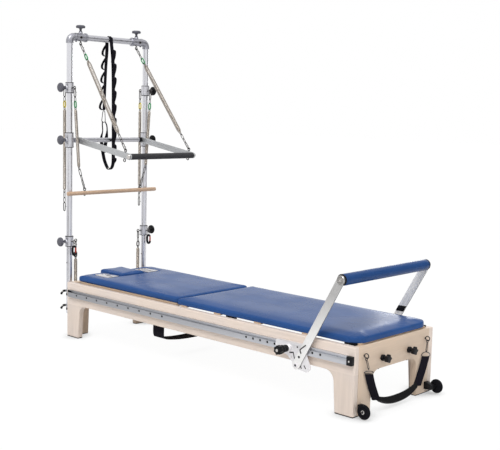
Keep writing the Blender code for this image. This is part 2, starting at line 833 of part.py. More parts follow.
def build_carriage_wheels(carriage, plastic):
    for name, side in SIDES.items():
        for end, x in axle_places().items():
            centre = Vector((x, wheel_centre(side), WHEEL_AXLE_HEIGHT))
            pivot = pivot_at(f"carriage_axle_{end}_{name}", centre, carriage)
            half = WHEEL_WIDTH / 2
            tread = ((-half, WHEEL_RADIUS), (half, WHEEL_RADIUS))
            wheel = turned(tread, centre, (0, 1, 0), 14)
            reach = Vector((0, WHEEL_WIDTH, 0))
            bore = rod(centre - reach, centre + reach, WHEEL_AXLE_RADIUS + RUNNING, 12)
            piece = solid(f"carriage_wheel_{end}_{name}", plastic, [wheel], [bore])
            centre_origin(piece, centre)
            hang(piece, pivot)


def plate_outline():
    """A footbar plate in X and Z, drawn from its plunger: a shoulder over the rail and a pivot lobe."""
    x = PLUNGER_X
    top = RAIL_TOP + SADDLE_GAP + SADDLE_THICKNESS
    pivot = PIVOT_X
    points = [
        (x - 0.086, top),
        (pivot + 0.045, top),
        (pivot + 0.062, PIVOT_HEIGHT + 0.058),
        (pivot + 0.092, PIVOT_HEIGHT - 0.002),
        (pivot + 0.066, PIVOT_HEIGHT - 0.028),
        (pivot - 0.020, PIVOT_HEIGHT - 0.014),
        (pivot - 0.030, PIVOT_HEIGHT + 0.012),
        (pivot - 0.068, PIVOT_HEIGHT + 0.042),
        (x - 0.062, PIVOT_HEIGHT + 0.048),
        (x - 0.086, RAIL_MIDDLE - 0.010),
    ]
    radii = [0.010, 0.008, 0.020, 0.016, 0.018, 0.012, 0.012, 0.030, 0.018, 0.012]
    return rounded(points, radii, 3)


def slot_outline(start, end, width):
    """A slot with round ends between two points."""
    a, b = Vector(start), Vector(end)
    along = (b - a).normalized()
    angle = math.atan2(along.y, along.x)
    outline = []
    for centre, base in ((a, math.pi / 2), (b, -math.pi / 2)):
        for step in range(4):
            lean = angle + base + math.pi * step / 3
            outline.append(centre + Vector((math.cos(lean), math.sin(lean))) * width / 2)
    return outline


def plate_cuts(side):
    """Stow slots and stop holes through a footbar plate, and the plunger's bore."""
    pivot = Vector((PIVOT_X, PIVOT_HEIGHT))
    slots = (
        ((-0.052, 0.080), (-0.040, 0.052), 0.007),
        ((0.030, 0.085), (0.018, 0.068), 0.008),
        ((0.034, -0.004), (0.042, -0.014), 0.007),
        ((0.058, -0.002), (0.064, -0.010), 0.007),
    )
    low, high = sorted((side * (PLATE_INNER - 0.01), side * (PLATE_OUTER + 0.01)))
    cuts = [
        slab(slot_outline(pivot + Vector(a), pivot + Vector(b), width), "Y", low, high)
        for a, b, width in slots
    ]
    hole = pivot + Vector((0.002, 0.093))
    cuts.append(slab(circle(hole, 0.0035, 6), "Y", low, high))
    bore_start = (PLUNGER_X, side * (PLATE_INNER - 0.01), HOLE_LINE)
    bore_end = (PLUNGER_X, side * (PLATE_OUTER + PLUNGER_BOSS_LENGTH + 0.01), HOLE_LINE)
    cuts.append(rod(bore_start, bore_end, PLUNGER_PIN_RADIUS + RUNNING, 12))
    return cuts


def build_footbar_plates(base, steel):
    for name, side in SIDES.items():
        sheet = slab(plate_outline(), "Y", *sorted((side * PLATE_INNER, side * PLATE_OUTER)))
        saddle = (PLUNGER_X - 0.070, PIVOT_X + 0.035)
        reach = (HALF_WIDTH + 0.002, PLATE_OUTER - PLATE_THICKNESS / 2)
        over = RAIL_TOP + SADDLE_GAP
        under = RAIL_BOTTOM - SADDLE_GAP
        shapes = [
            sheet,
            mirrored_block(side, saddle, reach, (over, over + SADDLE_THICKNESS)),
            mirrored_block(side, saddle, reach, (under - SADDLE_THICKNESS, under)),
        ]
        boss = (PLUNGER_X, side * (PLATE_OUTER - PLATE_THICKNESS / 2), HOLE_LINE)
        length = PLUNGER_BOSS_LENGTH + PLATE_THICKNESS / 2
        profile = (
            (0, PLUNGER_BOSS_RADIUS),
            (length, PLUNGER_BOSS_RADIUS - 0.006),
        )
        shapes.append(turned(profile, boss, (0, side, 0), 12))
        pin = (PIVOT_X, side * (PLATE_OUTER - PLATE_THICKNESS / 2), PIVOT_HEIGHT)
        shank = PLATE_THICKNESS / 2 + ARM_GAP * 2 + ARM_THICKNESS
        profile = (
            (0, PIVOT_PIN_RADIUS),
            (shank, PIVOT_PIN_RADIUS),
            (shank, PIVOT_HEAD_RADIUS),
            (shank + PIVOT_HEAD_THICKNESS, PIVOT_HEAD_RADIUS - 0.002),
        )
        shapes.append(turned(profile, pin, (0, side, 0), 12))
        plate = solid(f"footbar_plate_{name}", steel, shapes, plate_cuts(side))
        hang(plate, base)


def footbar_axis():
    """Where the footbar's cross tube runs, in X and Z."""
    lean = math.radians(FOOTBAR_LEAN)
    return Vector((
        PIVOT_X + FOOTBAR_LENGTH * math.sin(lean),
        PIVOT_HEIGHT + FOOTBAR_LENGTH * math.cos(lean),
    ))


def build_footbar(bar, steel, vinyl):
    pivot = Vector((PIVOT_X, PIVOT_HEIGHT))
    top = footbar_axis()
    shapes = []
    cuts = []
    for side in SIDES.values():
        outline = long_link(pivot, top, ARM_WIDTH / 2, 5)
        low, high = sorted((side * ARM_INNER, side * ARM_OUTER))
        shapes.append(slab(outline, "Y", low, high))
        start = (PIVOT_X, side * (ARM_INNER - 0.01), PIVOT_HEIGHT)
        end = (PIVOT_X, side * (ARM_OUTER + 0.01), PIVOT_HEIGHT)
        cuts.append(rod(start, end, PIVOT_PIN_RADIUS + RUNNING, 12))
        cap = (top.x, side * (ARM_OUTER - ARM_THICKNESS / 2), top.y)
        length = ARM_THICKNESS / 2 + FOOTBAR_CAP_THICKNESS
        profile = ((0, FOOTBAR_CAP_RADIUS), (length, FOOTBAR_CAP_RADIUS - 0.002))
        shapes.append(turned(profile, cap, (0, side, 0), 14))
    middle = (ARM_INNER + ARM_OUTER) / 2
    shapes.append(rod((top.x, -middle, top.y), (top.x, middle, top.y), FOOTBAR_TUBE_RADIUS, 12))
    hang(solid("footbar_frame", steel, shapes, cuts), bar)
    half = ARM_INNER - TOUCH * 2
    profile = (
        (-half, FOOTBAR_GRIP_RADIUS),
        (half, FOOTBAR_GRIP_RADIUS),
    )
    grip = turned(profile, (top.x, 0, top.y), (0, 1, 0), 18)
    bore = rod((top.x, -1, top.y), (top.x, 1, top.y), FOOTBAR_TUBE_RADIUS + TUBE_FIT, 12)
    hang(solid("footbar_grip", vinyl, [grip], [bore]), bar)


def long_link(start, end, half_width, steps):
    """A flat bar's outline with round ends."""
    a, b = Vector(start), Vector(end)
    angle = math.atan2(b.y - a.y, b.x - a.x)
    outline = []
    for centre, base in ((a, math.pi / 2), (b, -math.pi / 2)):
        for step in range(steps + 1):
            lean = angle + base + math.pi * step / steps
            outline.append(centre + Vector((math.cos(lean), math.sin(lean))) * half_width)
    return outline


def build_plungers(base, plastic):
    for name, side in SIDES.items():
        mouth = PLATE_OUTER + PLUNGER_BOSS_LENGTH
        nose = HALF_WIDTH + RAIL_DEPTH + RUNNING
        place = Vector((PLUNGER_X, side * nose, HOLE_LINE))
        pivot = pivot_at(f"plunger_axis_{name}", place, base)
        start = mouth + RUNNING - nose
        knob = start + PLUNGER_SLEEVE_LENGTH
        end = knob + PLUNGER_KNOB_LENGTH
        profile = (
            (0, PLUNGER_PIN_RADIUS),
            (start, PLUNGER_PIN_RADIUS),
            (start, PLUNGER_SLEEVE_RADIUS),
            (knob, PLUNGER_SLEEVE_RADIUS),
            (knob + 0.001, PLUNGER_KNOB_RADIUS),
            (end - 0.004, PLUNGER_KNOB_RADIUS),
            (end, PLUNGER_KNOB_RADIUS - 0.003),
        )
        piece = solid(f"plunger_{name}", plastic, [turned(profile, place, (0, side, 0), 12)])
        centre_origin(piece, place)
        hang(piece, pivot)


def build_tower_tubes(root, steel, cast):
    """The two hollow uprights, the top tube and the bends that join them."""
    for name, side in SIDES.items():
        y = side * UPRIGHT_HALF_SPACING
        top = TOP_TUBE_HEIGHT - ELBOW_BEND
        tube = rod((UPRIGHT_X, y, UPRIGHT_BOTTOM), (UPRIGHT_X, y, top - TOUCH), TUBE_RADIUS, 16)
        hollow = rod((UPRIGHT_X, y, UPRIGHT_BOTTOM - 0.01), (UPRIGHT_X, y, top + 0.01),
                     TUBE_RADIUS - TUBE_WALL, 16)
        hang(solid(f"upright_{name}", steel, [tube], [hollow]), root)
        low = Vector((UPRIGHT_X, y, top - ELBOW_SOCKET))
        flat = Vector((UPRIGHT_X, y - side * (ELBOW_BEND + ELBOW_SOCKET), TOP_TUBE_HEIGHT))
        line = [low]
        for step in range(5):
            angle = math.pi / 2 * step / 4
            line.append(Vector((UPRIGHT_X,
                                y - side * ELBOW_BEND * (1 - math.cos(angle)),
                                top + ELBOW_BEND * math.sin(angle))))
        line.append(flat)
        fit = TUBE_RADIUS + TUBE_FIT
        cuts = [
            rod(low - Vector((0, 0, 0.01)), (UPRIGHT_X, y, top), fit, 16),
            rod(flat - Vector((0, side * 0.01, 0)),
                (UPRIGHT_X, y - side * ELBOW_BEND, TOP_TUBE_HEIGHT), fit, 16),
        ]
        hang(solid(f"top_elbow_{name}", cast, [swept(line, ELBOW_RADIUS, 12)], cuts), root)
    reach = UPRIGHT_HALF_SPACING - ELBOW_BEND - TOUCH
    start = (UPRIGHT_X, -reach, TOP_TUBE_HEIGHT)
    end = (UPRIGHT_X, reach, TOP_TUBE_HEIGHT)
    hollow = rod((UPRIGHT_X, -1, TOP_TUBE_HEIGHT), (UPRIGHT_X, 1, TOP_TUBE_HEIGHT),
                 TUBE_RADIUS - TUBE_WALL, 16)
    hang(solid("top_tube", steel, [rod(start, end, TUBE_RADIUS, 16)], [hollow]), root)


def build_tower_clamps(root, cast):
    """The two-level clamp that holds each upright to the head frame, with its clamping levers."""
    for name, side in SIDES.items():
        y = UPRIGHT_HALF_SPACING
        half = CLAMP_HEIGHT / 2
        strip = mirrored_block(
            side,
            (-TOUCH - CLAMP_STRIP, -TOUCH),
            (y - CLAMP_STRIP_HALF, y + CLAMP_STRIP_HALF),
            (CLAMP_LEVELS[0] - half / 2, CLAMP_LEVELS[1] + half / 2),
        )
        shapes = [strip]
        cuts = []
        for level in CLAMP_LEVELS:
            shapes.append(mirrored_block(
                side,
                (-CLAMP_DEPTH, -TOUCH),
                (y - CLAMP_HALF_WIDTH, y + CLAMP_HALF_WIDTH),
                (level - half, level + half),
            ))
            ear = Vector((-CLAMP_DEPTH * 0.72, side * (y + CLAMP_HALF_WIDTH - 0.006), level))
            tip = ear + Vector((0, side * 0.018, 0))
            end = tip + Vector((-LEVER_LENGTH * 0.5, 0, -LEVER_LENGTH * 0.6))
            shapes.append(rod(ear, tip, LEVER_RADIUS + 0.002, 8))
            shapes.append(rod(tip - Vector((0, side * 0.004, 0)), end, LEVER_RADIUS, 6))
        low = (UPRIGHT_X, side * y, UPRIGHT_BOTTOM - 0.02)
        high = (UPRIGHT_X, side * y, CLAMP_LEVELS[1] + CLAMP_HEIGHT)
        cuts.append(rod(low, high, TUBE_RADIUS + TUBE_FIT, 16))
        hang(solid(f"tower_clamp_{name}", cast, shapes, cuts), root)


def collar_body(side, height, length):
    """A collar round an upright with the boss that its knob screws into."""
    y = side * UPRIGHT_HALF_SPACING
    low = Vector((UPRIGHT_X, y, height - length / 2))
    ring_body = turned(((0, COLLAR_RADIUS), (length, COLLAR_RADIUS)), low, (0, 0, 1), 16)
    start = (UPRIGHT_X, y + side * (TUBE_RADIUS + 0.003), height)
    boss = turned(((0, BOSS_RADIUS), (BOSS_REACH - TUBE_RADIUS - 0.003, BOSS_RADIUS)),
                  start, (0, side, 0), 8)
    bore = rod(low - Vector((0, 0, 0.01)), low + Vector((0, 0, length + 0.01)),
               TUBE_RADIUS + TUBE_FIT, 16)
    mouth = y + side * BOSS_REACH
    screw = rod((UPRIGHT_X, mouth + side * 0.005, height),
                (UPRIGHT_X, mouth - side * KNOB_SCREW_DEPTH, height),
                KNOB_SCREW_RADIUS + KNOB_SCREW_FIT, 8)
    return [ring_body, boss], [bore, screw]


def collar_knob(name, side, height, parent, plastic):
    """A round hand knob on its screw, square to the upright."""
    y = side * (UPRIGHT_HALF_SPACING + BOSS_REACH)
    place = Vector((UPRIGHT_X, y, height))
    pivot = pivot_at(f"{name}_axis", place, parent)
    face = KNOB_REACH - BOSS_REACH
    depth = KNOB_SCREW_DEPTH - RUNNING
    profile = (
        (-depth, KNOB_SCREW_RADIUS),
        (RUNNING, KNOB_SCREW_RADIUS),
        (RUNNING, KNOB_STEM_RADIUS + 0.002),
        (face, KNOB_STEM_RADIUS),
        (face + 0.001, KNOB_RADIUS),
        (face + KNOB_THICKNESS - 0.005, KNOB_RADIUS),
        (face + KNOB_THICKNESS, KNOB_RADIUS - 0.006),
    )
    piece = solid(name, plastic, [turned(profile, place, (0, side, 0), 10)])
    centre_origin(piece, place)
    hang(piece, pivot)


def build_spring_collars(pair, cast, plastic):
    height = SPRING_COLLAR_HEIGHT_ABOVE_FLOOR
    for name, side in SIDES.items():
        shapes, cuts = collar_body(side, height, COLLAR_HEIGHT)
        y = side * UPRIGHT_HALF_SPACING
        for way in (-1, 1):
            base = (UPRIGHT_X + way * (TUBE_RADIUS + 0.004), y, height)
            reach = EYE_REACH - TUBE_RADIUS - 0.004
            shapes += eye_bolt(base, (way, 0, 0), reach, (0, 1, 0))
        hang(solid(f"spring_collar_{name}", cast, shapes, cuts), pair)
        collar_knob(f"spring_collar_knob_{name}", side, height, pair, plastic)


def build_bar_collars(root, cast, plastic):
    height = BAR_COLLAR_ABOVE_FLOOR
    outer = PUSH_ARM_MIDDLE + PUSH_ARM_THICKNESS / 2 + RUNNING * 2
    for name, side in SIDES.items():
        shapes, cuts = collar_body(side, height, BAR_COLLAR_HEIGHT)
        wall = UPRIGHT_HALF_SPACING - TUBE_RADIUS - 0.004
        lug = mirrored_block(
            side,
            (UPRIGHT_X, PUSH_X + PUSH_BUSH_RADIUS * 0.5),
            (outer + 0.006, wall + 0.006),
            (height - PUSH_BUSH_RADIUS * 0.8, height + PUSH_BUSH_RADIUS * 0.8),
        )
        bush = turned(((0, PUSH_BUSH_RADIUS), (wall - outer, PUSH_BUSH_RADIUS)),
                      (PUSH_X, side * outer, height), (0, side, 0), 12)
        pin_end = PUSH_ARM_MIDDLE - PUSH_ARM_THICKNESS / 2 - PUSH_PIN_DEPTH
        pin = rod((PUSH_X, side * pin_end, height), (PUSH_X, side * (outer + 0.004), height),
                  PUSH_PIN_RADIUS, 12)
        hang(solid(f"bar_collar_{name}", cast, shapes + [lug, bush, pin], cuts), root)
        collar_knob(f"bar_collar_knob_{name}", side, height, root, plastic)


def lower_collar_height(side):
    return LOWER_COLLAR_LEFT if side == LEFT else LOWER_COLLAR_RIGHT


def build_lower_collar(name, side, slider, cast, plastic):
    height = lower_collar_height(side)
    shapes, cuts = collar_body(side, height, COLLAR_HEIGHT)
    y = side * UPRIGHT_HALF_SPACING
    base = (UPRIGHT_X + TUBE_RADIUS + 0.004, y, height)
    shapes += eye_bolt(base, (1, 0, 0), EYE_REACH - TUBE_RADIUS - 0.004, (0, 1, 0))
    base = (UPRIGHT_X, y - side * (TUBE_RADIUS + 0.004), height)
    shapes += eye_bolt(base, (0, -side, 0), LOWER_EYE_REACH - TUBE_RADIUS - 0.004, (1, 0, 0))
    hang(solid(f"lower_collar_{name}", cast, shapes, cuts), slider)
    collar_knob(f"lower_collar_knob_{name}", side, height, slider, plastic)


def build_top_sleeves(root, cast):
    """The sleeves on the top tube, each with its clamping knob above and a spring eye below."""
    for name, side in SIDES.items():
        y = side * SLEEVE_HALF_SPACING
        start = Vector((UPRIGHT_X, y - SLEEVE_LENGTH / 2, TOP_TUBE_HEIGHT))
        profile = ((0, SLEEVE_RADIUS), (SLEEVE_LENGTH, SLEEVE_RADIUS))
        sleeve = turned(profile, start, (0, 1, 0), 16)
        bore = rod(start - Vector((0, 0.01, 0)), start + Vector((0, SLEEVE_LENGTH + 0.01, 0)),
                   TUBE_RADIUS + TUBE_FIT, 16)
        neck = Vector((UPRIGHT_X, y, TOP_TUBE_HEIGHT + TUBE_RADIUS + 0.003))
        rise = SLEEVE_KNOB_RISE - TUBE_RADIUS - 0.003
        profile = (
            (0, BOSS_RADIUS),
            (rise * 0.45, BOSS_RADIUS),
            (rise * 0.45, KNOB_STEM_RADIUS),
            (rise, KNOB_STEM_RADIUS),
            (rise + 0.001, KNOB_RADIUS),
            (rise + KNOB_THICKNESS - 0.005, KNOB_RADIUS),
            (rise + KNOB_THICKNESS, KNOB_RADIUS - 0.006),
        )
        knob = turned(profile, neck, (0, 0, 1), 10)
        base = (UPRIGHT_X, y, TOP_TUBE_HEIGHT - TUBE_RADIUS - 0.004)
        eye = eye_bolt(base, (0, 0, -1), SLEEVE_EYE_DROP - TUBE_RADIUS - 0.004, (0, 1, 0))
        hang(solid(f"top_sleeve_{name}", cast, [sleeve, knob] + eye, [bore]), root)


def push_bar_point(along, above=0.0):
    """A point in X and Z on the push-through bar: a distance along its arm and above its middle."""
    lean = math.radians(PUSH_BAR_DROP)
    return Vector((
        PUSH_X + along * math.cos(lean) + above * math.sin(lean),
        BAR_COLLAR_ABOVE_FLOOR - along * math.sin(lean) + above * math.cos(lean),
    ))


def push_eye(side, above):
    """The middle of an eye over or under an arm of the push-through bar."""
    rise = PUSH_ARM_HEIGHT / 2 + EYE_RADIUS + EYE_WIRE
    spot = push_bar_point(PUSH_BAR_REACH - PUSH_EYE_BACK, rise if above else -rise)
    return Vector((spot.x, side * PUSH_ARM_MIDDLE, spot.y))


def build_push_bar(bar, metal, foam):
    front = push_bar_point(PUSH_BAR_REACH)
    shapes = [rod((front.x, -PUSH_ROD_HALF, front.y), (front.x, PUSH_ROD_HALF, front.y),
                  PUSH_ROD_RADIUS, 12)]
    inner = PUSH_ARM_MIDDLE
    shapes.append(rod((PUSH_X, -inner, BAR_COLLAR_ABOVE_FLOOR),
                      (PUSH_X, inner, BAR_COLLAR_ABOVE_FLOOR), PUSH_TUBE_RADIUS, 12))
    cuts = []
    for side in SIDES.values():
        outline = long_link(push_bar_point(0), front, PUSH_ARM_HEIGHT / 2, 4)
        low, high = sorted((side * (PUSH_ARM_MIDDLE - PUSH_ARM_THICKNESS / 2),
                            side * (PUSH_ARM_MIDDLE + PUSH_ARM_THICKNESS / 2)))
        shapes.append(slab(outline, "Y", low, high))
        for above in (True, False):
            centre = push_eye(side, above)
            shapes.append(ring(centre, (0, 1, 0), EYE_RADIUS, EYE_WIRE))
            foot = push_bar_point(PUSH_BAR_REACH - PUSH_EYE_BACK, 0.012 if above else -0.012)
            way = (centre - Vector((foot.x, centre.y, foot.y))).normalized()
            shapes.append(rod((foot.x, centre.y, foot.y), centre - way * (EYE_RADIUS - EYE_WIRE / 2),
                              EYE_SHANK, 6))
        end = PUSH_ARM_MIDDLE - PUSH_ARM_THICKNESS / 2 - PUSH_PIN_DEPTH - RUNNING
        cuts.append(rod((PUSH_X, side * (PUSH_ARM_MIDDLE + 0.02), BAR_COLLAR_ABOVE_FLOOR),
                        (PUSH_X, side * end, BAR_COLLAR_ABOVE_FLOOR),
                        PUSH_PIN_RADIUS + RUNNING, 12))
    hang(solid("push_bar", metal, shapes, cuts), bar)
    half = PUSH_ARM_MIDDLE - PUSH_ARM_THICKNESS / 2 - TOUCH * 2
    start = (front.x, -half, front.y)
    end = (front.x, half, front.y)
    grip = rod(start, end, PUSH_GRIP_RADIUS, 16)
    bore = rod((front.x, -1, front.y), (front.x, 1, front.y), PUSH_ROD_RADIUS + TUBE_FIT, 12)
    hang(solid("push_bar_grip", foam, [grip], [bore]), bar)


def frame_along(direction):
    """Two directions square to a line."""
    along = Vector(direction).normalized()
    across = along.orthogonal().normalized()
    return along, across, along.cross(across)


def hook_points(wire_of_eye, toward, across, radius, steps=5):
    """Three quarters of a turn of wire round an eye, open at its end, leading away from it."""
    toward = Vector(toward).normalized()
    across = Vector(across).normalized()
    points = []
    for i in range(steps + 1):
        angle = math.radians(150 + 210 * i / steps)
        points.append(wire_of_eye + (toward * math.sin(angle - math.pi / 2) * -1
                                     + across * math.cos(angle - math.pi / 2)) * radius)
    return points


def coil_points(start, end, radius, curls):
    """A coil's wire from the middle line at one end, out, round and back to the middle line."""
    along, across, up = frame_along(Vector(end) - Vector(start))
    length = (Vector(end) - Vector(start)).length
    count = curls * POINTS_PER_CURL
    ramp = POINTS_PER_CURL // 2
    points = []
    for i in range(count + 1):
        grown = min(1.0, i / ramp, (count - i) / ramp)
        angle = math.tau * i / POINTS_PER_CURL
        place = Vector(start) + along * (length * i / count)
        points.append(place + (across * math.cos(angle) + up * math.sin(angle)) * radius * grown)
    return points


def least_gap(points, diameter):
    """The least clear distance between turns of a tube along these points, finely sampled."""
    fine = []
    for a, b in zip(points, points[1:]):
        fine += [a.lerp(b, t / 3) for t in range(3)]
    run = [0.0]
    for a, b in zip(fine, fine[1:]):
        run.append(run[-1] + (b - a).length)
    least = math.inf
    for i, first in enumerate(fine):
        for j in range(i + 1, len(fine)):
            if run[j] - run[i] > diameter * 2.5:
                least = min(least, (fine[j] - first).length)
    return least - diameter


def spring(name, hook_top, coil_top, coil_bottom, hook_bottom, radius, curls, material):
    """One wire: a hook or plain end, a straight lead, the coil, a lead and the other hook."""
    points = list(hook_top) + coil_points(coil_top, coil_bottom, radius, curls) + list(hook_bottom)
    gap = least_gap(points, 2 * SPRING_WIRE)
    print(f"{name}: least gap {gap * 1000:.2f} mm")
    return wire_path(name, points, SPRING_WIRE, material)


def eye_hook(eye, toward, hook_across, hook_radius):
    """Points of a hook that goes through an eye and heads off, given the eye's nearest wire."""
    return hook_points(eye + Vector(toward).normalized() * EYE_RADIUS, toward, hook_across, hook_radius)


def build_springs(root, roll_down, hanging, lower, nickel):
    hook_radius = EYE_WIRE + SPRING_WIRE + HOOK_CLEARANCE
    for name, side in SIDES.items():
        top_eye = Vector((UPRIGHT_X, side * SLEEVE_HALF_SPACING, TOP_TUBE_HEIGHT - SLEEVE_EYE_DROP))
        low_eye = push_eye(side, True)
        line = (low_eye - top_eye).normalized()
        out = Vector((0, 1, 0)).cross(line).normalized()
        upper = eye_hook(top_eye, line, Vector((0, 1, 0)), hook_radius)
        lower_hook = eye_hook(low_eye, -line, Vector((0, 1, 0)), hook_radius)
        lower_hook.reverse()
        start = top_eye + line * 0.135
        end = low_eye - line * 0.125
        piece = spring(f"top_spring_{name}", upper, start, end, lower_hook,
                       TOP_SPRING_RADIUS - SPRING_WIRE, TOP_SPRING_CURLS, nickel)
        hang(piece, root)

        eye_x = UPRIGHT_X + EYE_REACH
        high = Vector((eye_x, side * UPRIGHT_HALF_SPACING, SPRING_COLLAR_HEIGHT_ABOVE_FLOOR))
        dowel_eye = Vector((eye_x, side * DOWEL_EYE_PLACE, DOWEL_HEIGHT + DOWEL_EYE_RISE))
        leans = [
            UPRIGHT_HALF_SPACING + (DOWEL_EYE_PLACE - UPRIGHT_HALF_SPACING) * share
            for share in ROLL_DOWN_COIL_SHARES
        ]
        coil_top = Vector((eye_x, side * leans[0], ROLL_DOWN_TOP))
        coil_bottom = Vector((eye_x, side * leans[1], ROLL_DOWN_BOTTOM))
        first = eye_hook(high, coil_top - high, Vector((0, 1, 0)), hook_radius)
        last = eye_hook(dowel_eye, coil_bottom - dowel_eye, Vector((1, 0, 0)), hook_radius)
        last.reverse()
        piece = spring(f"roll_down_spring_{name}", first, coil_top, coil_bottom, last,
                       SLIM_SPRING_RADIUS - SPRING_WIRE, ROLL_DOWN_CURLS, nickel)
        hang(piece, roll_down)

        back = Vector((UPRIGHT_X - EYE_REACH, side * UPRIGHT_HALF_SPACING,
                       SPRING_COLLAR_HEIGHT_ABOVE_FLOOR))
        down = Vector((0, 0, -1))
        coil_top = Vector((back.x, back.y, HANGING_TOP))
        coil_bottom = Vector((back.x, back.y, HANGING_BOTTOM))
        first = eye_hook(back, down, Vector((0, 1, 0)), hook_radius)
        end = Vector((back.x, back.y, HANGING_HOOK_END))
        piece = spring(f"hanging_spring_{name}", first, coil_top, coil_bottom, free_hook(end),
                       SLIM_SPRING_RADIUS - SPRING_WIRE, HANGING_CURLS, nickel)
        hang(piece, hanging[name])

        height = lower_collar_height(side)
        eye = Vector((UPRIGHT_X, side * (UPRIGHT_HALF_SPACING - LOWER_EYE_REACH), height))
        coil_top = eye - Vector((0, 0, LOWER_TOP_DROP))
        coil_bottom = coil_top - Vector((0, 0, LOWER_SPRING_LENGTH))
        first = eye_hook(eye, down, Vector((1, 0, 0)), hook_radius)
        end = coil_bottom - Vector((0, 0, LOWER_HOOK_LENGTH))
        piece = spring(f"lower_spring_{name}", first, coil_top, coil_bottom, free_hook(end),
                       LOWER_SPRING_RADIUS - SPRING_WIRE, LOWER_CURLS, nickel)
        hang(piece, lower[name])


def free_hook(end):
    """A free snap-hook end: a lead down and an open bow of wire."""
    bow = 0.009
    centre = end + Vector((0, 0, bow))
    points = [centre + Vector((0, 0, 0.030))]
    for i in range(8):
        angle = math.radians(70 - 38 * i)
        points.append(centre + Vector((0, math.cos(angle), math.sin(angle))) * bow)
    return points


def build_roll_down_bar(roll_down, wood):
    x = UPRIGHT_X + EYE_REACH
    half = DOWEL_HALF_LENGTH
    profile = ((-half, DOWEL_RADIUS), (half, DOWEL_RADIUS))
    shapes = [turned(profile, (x, 0, DOWEL_HEIGHT), (0, 1, 0), 12)]
    for side in SIDES.values():
        y = side * DOWEL_EYE_PLACE
        base = (x, y, DOWEL_HEIGHT)
        shapes += eye_bolt(base, (0, 0, 1), DOWEL_EYE_RISE, (1, 0, 0))
        nut = turned(((0, 0.006), (0.008, 0.005)),
                     (x, y, DOWEL_HEIGHT - DOWEL_RADIUS + 0.002), (0, 0, -1), 6)
        shapes.append(nut)
    hang(solid("roll_down_bar", wood, shapes), roll_down)


def ribbon(centre_line, thickness):
    """An outline along both sides of a chain of points."""
    left, right = [], []
    count = len(centre_line)
    for i, point in enumerate(centre_line):
        before = centre_line[max(i - 1, 0)]
        after = centre_line[min(i + 1, count - 1)]
        along = (Vector(after) - Vector(before)).normalized()
        normal = Vector((-along.y, along.x)) * thickness / 2
        left.append(Vector(point) + normal)
        right.append(Vector(point) - normal)
    return left + right[::-1]


def closed_band(centre_line, thickness, axis, low, high):
    """A band round a closed chain of points, as one body with a hole through it."""
    count = len(centre_line)
    shape = bmesh.new()
    rings = []
    for way in (-1, 1):
        for across in (low, high):
            loop = []
            for i, point in enumerate(centre_line):
                before = Vector(centre_line[i - 1])
                after = Vector(centre_line[(i + 1) % count])
                along = (after - before).normalized()
                spot = Vector(point) + Vector((-along.y, along.x)) * way * thickness / 2
                loop.append(shape.verts.new((spot.x, across(point) if callable(across) else across,
                                             spot.y)))
            rings.append(loop)
    inner_low, inner_high, outer_low, outer_high = rings
    for i in range(count):
        j = (i + 1) % count
        shape.faces.new((inner_low[i], inner_low[j], inner_high[j], inner_high[i]))
        shape.faces.new((outer_low[i], outer_high[i], outer_high[j], outer_low[j]))
        shape.faces.new((inner_low[i], outer_low[i], outer_low[j], inner_low[j]))
        shape.faces.new((inner_high[i], inner_high[j], outer_high[j], outer_high[i]))
    return shape


def loop_line():
    """The trapeze sling's middle line in X and Z: over the top tube and down past the cross tube."""
    radius = TUBE_RADIUS + LOOP_THICKNESS / 2 + 0.0008
    points = []
    for step in range(9):
        angle = math.pi * (1 - step / 8)
        points.append((UPRIGHT_X + radius * math.cos(angle),
                       TOP_TUBE_HEIGHT + radius * math.sin(angle)))
    height = TOP_TUBE_HEIGHT - LOOP_BOTTOM
    for step in range(1, 8):
        share = step / 8
        start = UPRIGHT_X + radius
        reach = start + (LOOP_FRONT - start) * math.sin(math.pi / 2 * min(1, share * 1.6))
        points.append((reach, TOP_TUBE_HEIGHT - height * share))
    middle = (LOOP_FRONT + LOOP_BACK) / 2
    bow = (LOOP_FRONT - LOOP_BACK) / 2
    for step in range(1, 6):
        angle = -math.pi * step / 6
        points.append((middle + bow * math.cos(angle),
                       LOOP_BOTTOM + bow + bow * math.sin(angle)))
    for step in range(7, 0, -1):
        share = step / 8
        start = UPRIGHT_X - radius
        reach = start + (LOOP_BACK - start) * math.sin(math.pi / 2 * min(1, share * 1.6))
        points.append((reach, TOP_TUBE_HEIGHT - height * share))
    return points


def loop_half_width(point):
    """The sling is narrow webbing above and a wide pad below."""
    share = min(1.0, max(0.0, (LOOP_PAD_TOP - point[1]) / 0.08))
    return (LOOP_WIDTH + (LOOP_PAD_WIDTH - LOOP_WIDTH) * share) / 2


def build_trapeze_sling(sling, webbing):
    band = closed_band(loop_line(), LOOP_THICKNESS, "Y",
                       lambda point: -loop_half_width(point), loop_half_width)
    hang(solid("trapeze_sling", webbing, [band]), sling)


def build_well_strap(root, webbing):
    """The wide webbing sling under the spring well, fixed to both side boards."""
    wall = INNER_HALF - TOUCH - WELL_STRAP_THICKNESS / 2
    points = [(-wall, WELL_STRAP_TOP), (-wall, WELL_STRAP_CORNER + 0.02)]
    count = 10
    for step in range(count + 1):
        share = step / count * 2 - 1
        sag = 1 - abs(share) ** 3
        height = WELL_STRAP_CORNER - (WELL_STRAP_CORNER - WELL_STRAP_MIDDLE) * sag
        points.append((share * (wall - 0.012), height))
    points += [(wall, WELL_STRAP_CORNER + 0.02), (wall, WELL_STRAP_TOP)]
    band = slab(ribbon(points, WELL_STRAP_THICKNESS), "X",
                WELL_STRAP_START, WELL_STRAP_START + WELL_STRAP_WIDTH)
    hang(solid("well_strap", webbing, [band]), root)


